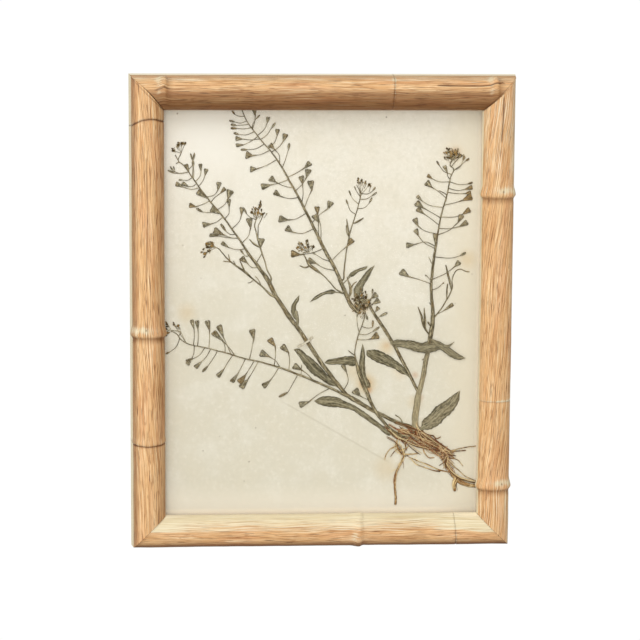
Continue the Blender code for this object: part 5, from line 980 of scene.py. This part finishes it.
def root_strands(branch, level, dice):
    """A root is a loose bundle of rootlets: they come in from the stems, wander along its line and beside it,
    end one after the other, and thin hairs curl off to both sides, most thickly around the crown's ball."""
    line = smooth_path(branch.start + branch.path, 0.8)
    place = length_along(line)
    left = turned_left(line)
    crown = branch.name == "root_crown"
    count = {"root_crown": 46, "root_left": 11}.get(branch.name, 3)
    kinds = ("vein", "warm", "warm", "rim", "rim") if crown else ("vein", "vein", "tint", "warm")
    parts = []
    for _ in range(count):
        start = int(dice.uniform(0, 0.4) ** (1.6 if crown else 1.0) * len(line))
        stop = min(len(line), start + max(14, int(dice.uniform(0.2, 0.75) * len(line))))
        sway = np.clip(wander(place, dice.uniform(24, 60), dice) * 0.7 + dice.uniform(-0.9, 0.9), -1.4, 1.4)
        across = sway * np.maximum(line[:, 2], 0.8) * (1.25 - 0.35 * smoothstep(16, 34, place))
        half = dice.choice((0.15, 0.19, 0.24, 0.32))
        strand = np.insert(line[:, :2] + left * across[:, None], 2, half, axis=1)[start:stop][::5]
        if crown and start < 9:
            origin = STEM_FEET[dice.integers(3)] + dice.normal(0, 0.9, 2)
            strand = np.concatenate(([[*origin, half]], strand[min(3, len(strand) - 2):]))
        parts.append(strand_part(strand, level + dice.uniform(-0.1, 0.5), dice, kinds))
    for number, path in enumerate(CROWN_STRANDS if crown else ()):
        for _ in range(5 if number < THICK_CROWN_STRANDS else 3):
            path = np.array(path) + np.append(dice.normal(0, 0.45, 2), 0)
            thinner = path * (1, 1, dice.uniform(0.6, 1.1))
            parts.append(strand_part(thinner, level + dice.uniform(0, 0.6), dice))
    ball = np.linalg.norm(line[:, :2] - ROOT_BALL, axis=1).argmin()
    for number in range(60 if crown else count // 2):
        at = int(dice.uniform(0.05, 0.8) * (len(line) - 1))
        tangled = number >= count // 2
        if tangled:
            at = int(ball + dice.normal(0, 4))
        aside = left[at] * dice.choice((-1, 1))
        onward = np.array((left[at][1], -left[at][0]))
        length = dice.uniform(2.0, 5.5)
        curl = dice.uniform(-2.5, 2.5) * (1.8 if tangled else 1.0)
        steps = np.linspace(0, 1, 5)[:, None]
        hair = line[at, :2] + (aside * 0.9 + onward * dice.uniform(0, 1.2)) * steps * length
        hair = hair + onward * curl * steps ** 2
        half = (0.42 if tangled else 0.24) - 0.12 * steps
        parts.append(strand_part(np.concatenate((hair, half), axis=1), level + 0.3 * tangled, dice))
    return parts


def leaf_part(leaf, level, dice):
    """A pressed leaf: both edges run from its base to its tip, the blade is the straight line between them.
    Its height has soft waves, a raised midrib and slanting side veins, and its edge is slightly ragged."""
    ring = np.array(leaf.outline, float)
    apart = np.linalg.norm(ring[:, None] - ring[None], axis=2)
    first, last = sorted(np.unravel_index(apart.argmax(), apart.shape))
    edges = []
    for line in (ring[first:last + 1], np.concatenate((ring[last:], ring[:first + 1]))[::-1]):
        smooth = smooth_path(line, 0.25)
        share = length_along(smooth) / length_along(smooth)[-1]
        asked = np.linspace(0.003, 0.997, 90)
        edges.append(np.stack([np.interp(asked, share, column) for column in smooth.T], axis=1))
    middle = (edges[0] + edges[1]) / 2
    half = (edges[0] - edges[1]) / 2
    place = length_along(middle)
    along = place[:, None]
    turn = full_turn(36)
    u = np.cos(turn)
    ragged = 1 + 0.07 * wander(place, 3.4, dice)[:, None] * np.abs(u) ** 3
    ragged = ragged + 0.06 * wander(place + 40, 9.0, dice)[:, None] * u * np.abs(u)
    x, up = (middle[:, axis, None] + half[:, axis, None] * u * ragged for axis in (0, 1))
    across = u * np.linalg.norm(half, axis=1)[:, None]
    veins = 0.5 + 0.5 * np.cos((along - 0.9 * np.abs(across)) * 2 * math.pi / 3.2)
    wave = 0.10 * np.sin(along / 3.1 + 2.2 * u) + 0.07 * np.sin(along / 1.3 - 3.0 * u + 1.0)
    sheet = wave + 0.16 * hill(across, 0.4) + 0.05 * veins ** 6 * (np.abs(u) < 0.9)
    marks = marks_on(across, place, dice, tint=leaf.pale, rim=np.maximum(np.abs(u), leaf.dark),
                     vein=np.clip(hill(across, 0.3) + 0.35 * veins ** 8, 0, 1))
    return on_sheet(x, up, level + sheet + 0.13 * np.sin(turn)), marks


def make_plant(stem, leaf_skin, root):
    """Every stem and root with what grows on it, then every leaf with its stalk."""
    for branch in BRANCHES:
        coat, slot = (root, "root") if branch.name.startswith("root") else (stem, "stem")
        branch_piece(branch, coat, slot)
    for leaf in LEAVES:
        dice = random_for(leaf.name)
        parts = [leaf_part(leaf, level_of(leaf.level), dice)]
        if leaf.stalk:
            rings, marks = stem_part(leaf.stalk, level_of(leaf.level), dice)
            parts.append((rings, {**marks, "vein": np.full(rings.shape[:2], 0.8)}))
        piece(leaf.name + "_dried", parts, leaf_skin, leaf.name)


# Finishes

def linear(code):
    """A hex colour as linear numbers."""
    parts = [int(code[place:place + 2], 16) / 255 for place in (1, 3, 5)]
    return (*(part / 12.92 if part <= 0.04045 else ((part + 0.055) / 1.055) ** 2.4 for part in parts), 1.0)


def connect(tree, node, inputs):
    """Sets inputs of a node: each is a number, a hex colour or another node's output."""
    for key, value in inputs.items():
        if isinstance(value, bpy.types.NodeSocket):
            tree.links.new(value, node.inputs[key])
        else:
            node.inputs[key].default_value = linear(value) if isinstance(value, str) else value


def add(tree, kind, inputs=None, stops=(), output=0, **settings):
    """Adds a node with its inputs, settings and a ramp's stops, and gives one of its outputs."""
    made = tree.nodes.new("ShaderNode" + kind)
    for key, value in settings.items():
        setattr(made, key, value)
    connect(tree, made, inputs or {})
    for number, (place, colour) in enumerate(stops):
        ramp = made.color_ramp.elements
        stop = ramp[number] if number < len(ramp) else ramp.new(place)
        stop.position = place
        stop.color = linear(colour)
    return made.outputs[output]


def finish(name):
    """A new material, its node tree and its shader."""
    made = bpy.data.materials.new(name)
    made.use_nodes = True
    tree = made.node_tree
    return made, tree, tree.nodes["Principled BSDF"]


def dressed(tree, shader, colour, roughness, height, strength, reach):
    """Links a finish's colour, roughness and relief to its shader. The relief lifts over reach, in metres."""
    normal = add(tree, "Bump", {"Height": height, "Strength": strength, "Distance": reach})
    connect(tree, shader, {"Base Color": colour, "Roughness": roughness, "Normal": normal})


def blots(tree, place, size, detail=3.0, rough=0.55):
    """Soft random blots on a place in millimetres; size gives theirs in millimetres on each axis."""
    stretch = tuple(1 / length for length in size)
    scaled = add(tree, "VectorMath", {0: place, 1: stretch}, operation="MULTIPLY")
    return add(tree, "TexNoise", {"Vector": scaled, "Scale": 1.0, "Detail": detail, "Roughness": rough})


def laid(tree, tone, layers):
    """Colours laid over a tone one after the other. Each layer is a pattern, the level where its colour
    begins to show, the level where it shows in full, its share there, and the colour."""
    for pattern, begins, full, share, colour in layers:
        shown = add(tree, "MapRange", {"Value": pattern, "From Min": begins, "From Max": full},
                    interpolation_type="SMOOTHSTEP")
        shown = add(tree, "Math", {0: shown, 1: share}, operation="MULTIPLY")
        tone = add(tree, "Mix", {0: shown, 6: tone, 7: colour}, output=2, data_type="RGBA")
    return tone


def millimetres(tree):
    """The place on the object in millimetres."""
    here = add(tree, "TexCoord", output="Object")
    return add(tree, "VectorMath", {0: here, "Scale": 1000.0}, operation="SCALE")


def marked(tree, *names):
    """What the piece's marks say at a place."""
    return [add(tree, "Attribute", output="Fac", attribute_name=name) for name in names]


def from_line(tree, here, start, end):
    """How far a place is from a line's middle, along the line and across it. The line runs on the sheet."""
    start, end = (Vector((x, 0.0, up + SHEET_UP + CENTRE_Z)) for x, up in (start, end))
    way = (end - start).normalized()
    from_middle = add(tree, "VectorMath", {0: here, 1: tuple((start + end) / 2)}, operation="SUBTRACT")
    away = []
    for direction in (way, Vector((-way.z, 0, way.x))):
        reached = add(tree, "VectorMath", {0: from_middle, 1: tuple(direction)}, output="Value",
                      operation="DOT_PRODUCT")
        away.append(add(tree, "Math", {0: reached}, operation="ABSOLUTE"))
    return away


def limed_oak():
    """Limed oak, planed and carved, waxed: pale fibres, darker short pores along the grain, chalky lime left
    on the rings and the outer sides, and painted shade and light by the edges in its brown, dark and lime
    marks."""
    made, tree, shader = finish("limed_oak")
    fibre = add(tree, "Attribute", output="Vector", attribute_name="fibre")
    limed, browned, darkened = marked(tree, "lime", "brown", "dark")
    drift = blots(tree, fibre, (56, 15, 1), 2.0)
    sway = add(tree, "Math", {0: drift, 1: 5.0, 2: -2.5}, operation="MULTIPLY_ADD")
    grain = add(tree, "VectorMath", {0: fibre, 1: add(tree, "CombineXYZ", {"Y": sway})}, operation="ADD")
    streak = blots(tree, grain, (44, 1.1, 1), 3.0, 0.6)
    thread = blots(tree, grain, (34, 0.36, 1), 3.0, 0.7)
    pore = blots(tree, grain, (13, 0.34, 1), 1.0)
    figure = add(tree, "Math", {0: blots(tree, fibre, (80, 5.5, 1), 1.0), 1: 9.0}, operation="MULTIPLY")
    line = add(tree, "Math", {0: figure, 1: 0.5}, operation="PINGPONG")
    wood = add(tree, "ValToRGB", {0: streak}, [(0.30, "#CA9864"), (0.44, "#D4A26C"), (0.56, "#DBAD77"),
                                               (0.70, "#E6C290")])
    wood = laid(tree, wood, ((blots(tree, fibre, (38, 7, 1), 1.0), 0.45, 0.68, 0.3, "#D7976B"),
                             (blots(tree, grain, (70, 5.5, 1), 2.0), 0.46, 0.70, 0.24, "#E4C396"),
                             (thread, 0.475, 0.375, 0.95, "#98663A"),
                             (thread, 0.52, 0.64, 0.8, "#F6DFB4"),
                             (line, 0.10, 0.02, 0.38, "#A06C3C"),
                             (pore, 0.60, 0.66, 0.9, "#754C2B")))
    # The brown mark: waxed brown beside the saw cuts, and painted shade on the top rail's lower half, the
    # left rail's edges, the bottom rail's lower edge and the rings' steep sides.
    wood = add(tree, "Mix", {0: browned, 6: wood, 7: "#A48F75"}, output=2, data_type="RGBA",
               blend_type="MULTIPLY")
    chalk = add(tree, "ValToRGB", {0: thread}, [(0.34, "#CCBB8E"), (0.48, "#DCD0AA"), (0.62, "#E7E0C4")])
    chalk = laid(tree, chalk, [(limed, 1.1, 1.8, 1.0, "#FFF7DA")])
    fleck = add(tree, "Math", {0: thread, 1: 2.2, 2: -1.1}, operation="MULTIPLY_ADD")
    lime = add(tree, "Math", {0: limed, 1: fleck}, operation="ADD")
    # The lime mark also holds painted light: the top rail's upper edge, the rings' lit flanks, the bottom and
    # right rails' inner lips and the right rail's outer edge.
    wood = laid(tree, wood, [(lime, 0.3, 0.8, 0.85, chalk)])
    # The dark mark: cracks, pits, saw cuts and mitre joints, and painted shade along the bottom rail's lower
    # edge, the top rail's inner part and the rings' valleys.
    darkened = add(tree, "Math", {0: darkened, 1: 0.85}, operation="MULTIPLY")
    wood = add(tree, "Mix", {0: darkened, 6: wood, 7: "#522D0E"}, output=2, data_type="RGBA")
    rough = add(tree, "MapRange", {"Value": streak, "To Min": 0.62, "To Max": 0.46})
    shader.inputs["Specular IOR Level"].default_value = 0.3
    dressed(tree, shader, wood, rough, add(tree, "Mix", {0: 0.5, 2: thread, 3: pore}), 0.5, 0.0002)
    return made


def dried_plant(name, dark, mid, light, pod, brown, rib, spots):
    """Dried and pressed plant, matt: fibres along each part, wrinkles, blotches, pods of another tone and
    brown buds, with dark edges and pale ribs. spots says how blotched it is."""
    made, tree, shader = finish(name)
    fibre = add(tree, "Attribute", output="Vector", attribute_name="fibre")
    tint, warm, rim, vein = marked(tree, "tint", "warm", "rim", "vein")
    here = millimetres(tree)
    thread = blots(tree, fibre, (5, 0.5, 1), 2.0)
    fine = blots(tree, fibre, (7, 0.42, 1), 2.0, 0.6)
    wrinkle = blots(tree, fibre, (2.4, 0.75, 1), 2.0)
    blotch = blots(tree, here, (1.3, 1.3, 1.3))
    patch = blots(tree, here, (7, 7, 7), 2.0)
    skin = add(tree, "ValToRGB", {0: thread}, [(0.36, dark), (0.5, mid), (0.64, light)])
    mottled = add(tree, "Mix", {0: spots, 2: fine, 3: blotch})
    other = add(tree, "ValToRGB", {0: mottled}, [(0.34, mid), (0.5, pod), (0.7, light)])
    skin = add(tree, "Mix", {0: tint, 6: skin, 7: other}, output=2, data_type="RGBA")
    skin = laid(tree, skin, ((blotch, 0.30, 0.55, warm, brown),
                             (blotch, 0.54, 0.66, 0.4 * spots, light),
                             (blotch, 0.46, 0.36, 0.45 * spots, dark),
                             (fine, 0.47, 0.36, 0.5, dark), (fine, 0.54, 0.64, 0.3, light),
                             (patch, 0.45, 0.70, 0.25, brown),
                             (wrinkle, 0.50, 0.36, 0.6, dark), (wrinkle, 0.54, 0.68, 0.38, light),
                             (rim, 0.62, 0.97, 0.7, dark), (rim, 1.0, 1.5, 0.8, "#3E2B06")))
    ribbed = add(tree, "Math", {0: vein, 1: rib}, operation="MULTIPLY")
    skin = add(tree, "Mix", {0: ribbed, 6: skin, 7: light}, output=2, data_type="RGBA")
    shader.inputs["Specular IOR Level"].default_value = 0.2
    dressed(tree, shader, skin, 0.82, add(tree, "Mix", {0: 0.5, 2: thread, 3: blotch}), 0.7, 0.0002)
    return made


def aged_paper():
    """Cotton rag paper, mould-made and aged: cream, browner towards the foot, paler along the lower rail and
    by the right rail as painted light against their shade, foxed in specks, with brown haloes and rusty
    stains where the plant's juices went in."""
    made, tree, shader = finish("aged_rag_paper")
    here = millimetres(tree)
    x, up = (add(tree, "SeparateXYZ", {0: here}, output=axis) for axis in (0, 2))
    cloud = blots(tree, here, (19, 19, 19), 4.0)
    mottle = blots(tree, here, (2.2, 2.2, 2.2), 4.0, 0.7)
    fleck = blots(tree, here, (0.9, 0.9, 0.9), 2.0)
    along, across = from_line(tree, here, *CREASE)
    crease = add(tree, "MapRange", {"Value": along, "From Min": 42.0, "From Max": 34.0, "To Max": 0.3},
                 interpolation_type="SMOOTHSTEP")
    layers = [(up, -45.0, -165.0, 1.0, "#DBD4BF"),
              (cloud, 0.46, 0.68, 0.28, "#DAD1B8"), (cloud, 0.50, 0.32, 0.26, "#EDE9DB"),
              (mottle, 0.47, 0.66, 0.36, "#D6D0BB"), (mottle, 0.47, 0.32, 0.3, "#F2EDDF"),
              # Painted light: paler bands along the lower rail and by the right rail, against the shade they
              # cast on the paper.
              (up, -236.0, -254.0, 0.7, "#EFE7D3"), (up, -253.0, -256.5, 0.7, "#FFF3D8"),
              (x, 66.0, 92.0, 0.7, "#E1D7BE"), (x, 93.0, 95.5, 0.7, "#FFF3D8"),
              (fleck, 0.60, 0.74, 0.22, "#C9BD9C"), (across, 0.9, 0.15, crease, "#B9AF96")]
    for spots, colour, core in ((PALE, "#F4EFE2", 0.0), (HALOES, "#D2B47C", 0.0), (RUST, "#C48D50", 0.0),
                                (FOXING, "#7E6A4C", 0.25)):
        for spot_x, spot_up, radius, strength in spots:
            middle = (spot_x, -PAPER_FRONT, spot_up + SHEET_UP + CENTRE_Z)
            away = add(tree, "VectorMath", {0: here, 1: middle}, output="Value", operation="DISTANCE")
            layers.append((away, radius, radius * core, strength, colour))
    tooth = blots(tree, here, (0.5, 0.5, 0.5))
    cockle = blots(tree, here, (46, 30, 12), 2.0)
    shader.inputs["Specular IOR Level"].default_value = 0.2
    dressed(tree, shader, laid(tree, "#E9E2D0", layers), 0.9, add(tree, "Mix", {0: 0.9, 2: tooth, 3: cockle}),
            0.5, 0.0006)
    return made


def linen_tape():
    """Gummed linen tape, cut by hand: woven threads half a millimetre apart, glue-yellowed, with darker
    edges, a painted shadow along its outline."""
    made, tree, shader = finish("linen_tape")
    here = millimetres(tree)
    threads = add(tree, "TexWave", {"Vector": here, "Scale": 1.1, "Distortion": 1.2, "Detail": 2.0},
                  output="Fac", wave_type="BANDS", bands_direction="DIAGONAL")
    tone = add(tree, "Mix", {0: threads, 6: "#C9BEA2", 7: "#DED5BD"}, output=2, data_type="RGBA")
    reaches = (math.dist(*TAPE_ENDS) / 2, TAPE_WIDTH / 2)
    # Painted shadow: the tape darkens towards its outline.
    tone = laid(tree, tone, [(away, reach - 0.35, reach - 0.05, 0.75, "#8C8064")
                             for away, reach in zip(from_line(tree, here, *TAPE_ENDS), reaches)])
    dressed(tree, shader, tone, 0.75, threads, 0.4, 0.0001)
    return made


def grey_board():
    """Grey-brown pulp board, pressed: specks of fibre, dull."""
    made, tree, shader = finish("pulp_board")
    here = millimetres(tree)
    fleck = blots(tree, here, (0.7, 0.7, 2.6), 2.0)
    tone = add(tree, "ValToRGB", {0: blots(tree, here, (22, 22, 22))}, [(0.35, "#928063"), (0.65, "#9D8A6C")])
    tone = laid(tree, tone, ((fleck, 0.58, 0.72, 0.6, "#6B5A42"), (fleck, 0.40, 0.28, 0.45, "#C4B598")))
    dressed(tree, shader, tone, 0.92, fleck, 0.4, 0.0002)
    return made


def zinc_plate():
    """Zinc-plated steel, stamped: bright but hazy, with soft spangles and fine rolling scratches."""
    made, tree, shader = finish("zinc_plated_steel")
    here = millimetres(tree)
    spangle = blots(tree, here, (2.2, 2.2, 2.2), 2.0)
    scratch = blots(tree, here, (9, 0.12, 0.12), 2.0)
    tone = add(tree, "ValToRGB", {0: spangle}, [(0.35, "#A3A39C"), (0.65, "#C8C7BE")])
    rough = add(tree, "MapRange", {"Value": scratch, "To Min": 0.24, "To Max": 0.48})
    shader.inputs["Metallic"].default_value = 1.0
    dressed(tree, shader, tone, rough, scratch, 0.2, 0.00005)
    return made


def float_glass():
    """Float glass, two millimetres: almost nothing of it shows but a faint sheen."""
    made, tree, shader = finish("float_glass")
    connect(tree, shader, {"Base Color": "#3C4A43", "Roughness": 0.05, "Alpha": 0.025})
    return made


def repaint(nodes, made):
    """Gives the nodes' own solids a material."""
    for name in nodes:
        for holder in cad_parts[name].material_slots:
            holder.material = made


# Studio

def make_floor():
    """A wide pale disc far below the hanging frame."""
    turn = full_turn(96)[0]
    edge = np.stack((2.2 * np.cos(turn), 2.2 * np.sin(turn), np.full(96, -1.4)), axis=-1)
    mesh = bpy.data.meshes.new("floor")
    mesh.from_pydata(edge.tolist(), [], [list(range(96))])
    made, tree, shader = finish("pale_floor")
    connect(tree, shader, {"Base Color": "#E8E6E2", "Roughness": 0.9})
    mesh.materials.append(made)
    floor = bpy.data.objects.new("floor", mesh)
    bpy.context.scene.collection.objects.link(floor)


def make_light(name, place, size, power):
    """A soft round lamp, turned to the middle of the frame's front."""
    lamp = bpy.data.lights.new(name, "AREA")
    lamp.shape = "DISK"
    lamp.size = size
    lamp.energy = power
    thing = bpy.data.objects.new(name, lamp)
    thing.location = place
    target = Vector((0.0, -0.015, CENTRE_Z * MM))
    thing.rotation_euler = (target - Vector(place)).to_track_quat("-Z", "Y").to_euler()
    bpy.context.scene.collection.objects.link(thing)


def make_studio():
    """White all round for the camera, a soft grey for the light, and three large soft lamps: above to the
    left, behind the camera, and far out to the left."""
    world = bpy.data.worlds.new("studio")
    world.use_nodes = True
    tree = world.node_tree
    seen = add(tree, "LightPath", output="Is Camera Ray")
    strength = add(tree, "MapRange", {"Value": seen, "To Min": 0.52, "To Max": 1.02})
    connect(tree, tree.nodes["Background"], {"Color": "#FFFFFF", "Strength": strength})
    bpy.context.scene.world = world
    make_light("key", (-0.45, -1.42, 1.50), 1.4, 20.0)
    make_light("front", (-0.15, -2.9, 0.25), 2.0, 34.5)
    make_light("side", (-2.2, -0.22, -0.05), 1.0, 12.0)
    make_floor()


def make_camera():
    """Camera from the photo: 1.5 m away, a little to the left and above, long lens."""
    yaw, pitch, roll, focal = 0.06641858, 0.15494736, 0.00567553, 2491.1995
    target = Vector((-1.692, -13.0, -136.634)) * MM
    forward = Vector((math.sin(yaw) * math.cos(pitch), math.cos(yaw) * math.cos(pitch), -math.sin(pitch)))
    right = forward.cross(Vector((0, 0, 1))).normalized()
    up = right.cross(forward)
    tilted = right * math.cos(roll) + up * math.sin(roll)
    upright = up * math.cos(roll) - right * math.sin(roll)
    lens = bpy.data.cameras.new("camera")
    lens.sensor_width = 36.0
    lens.lens = focal * lens.sensor_width / PHOTO_PIXELS
    lens.clip_start = 0.05
    camera = bpy.data.objects.new("camera", lens)
    turned = Matrix((tilted, upright, -forward)).transposed().to_4x4()
    camera.matrix_world = Matrix.Translation(target - forward * 1.5) @ turned
    bpy.context.scene.collection.objects.link(camera)
    bpy.context.scene.camera = camera
    bpy.context.scene.view_settings.view_transform = "Standard"


def build():
    """Camera and studio, rails and plant as finer surfaces, then materials on the solids that stay."""
    make_camera()
    make_studio()
    make_rails(limed_oak())
    make_plant(dried_plant("dried_stems", "#4A402B", "#706549", "#B9AC88", "#807A64", "#8F6824", 0.5, 1.0),
               dried_plant("dried_leaves", "#3E3827", "#625A41", "#A99F7E", "#9C9072", "#7C6B49", 0.5, 0.3),
               dried_plant("dried_roots", "#47280E", "#B98E52", "#F4DEA8", "#9A6C38", "#8C3C1C", 0.95, 0.7))
    repaint(["glass"], float_glass())
    repaint(["specimen_paper"], aged_paper())
    repaint(["tape_strip"], linen_tape())
    repaint(["backing_board"], grey_board())
    steel = ["hanger", "hanger_nail_left", "hanger_nail_right"]
    repaint(steel + [f"point_{number}" for number in range(1, 7)], zinc_plate())


build()
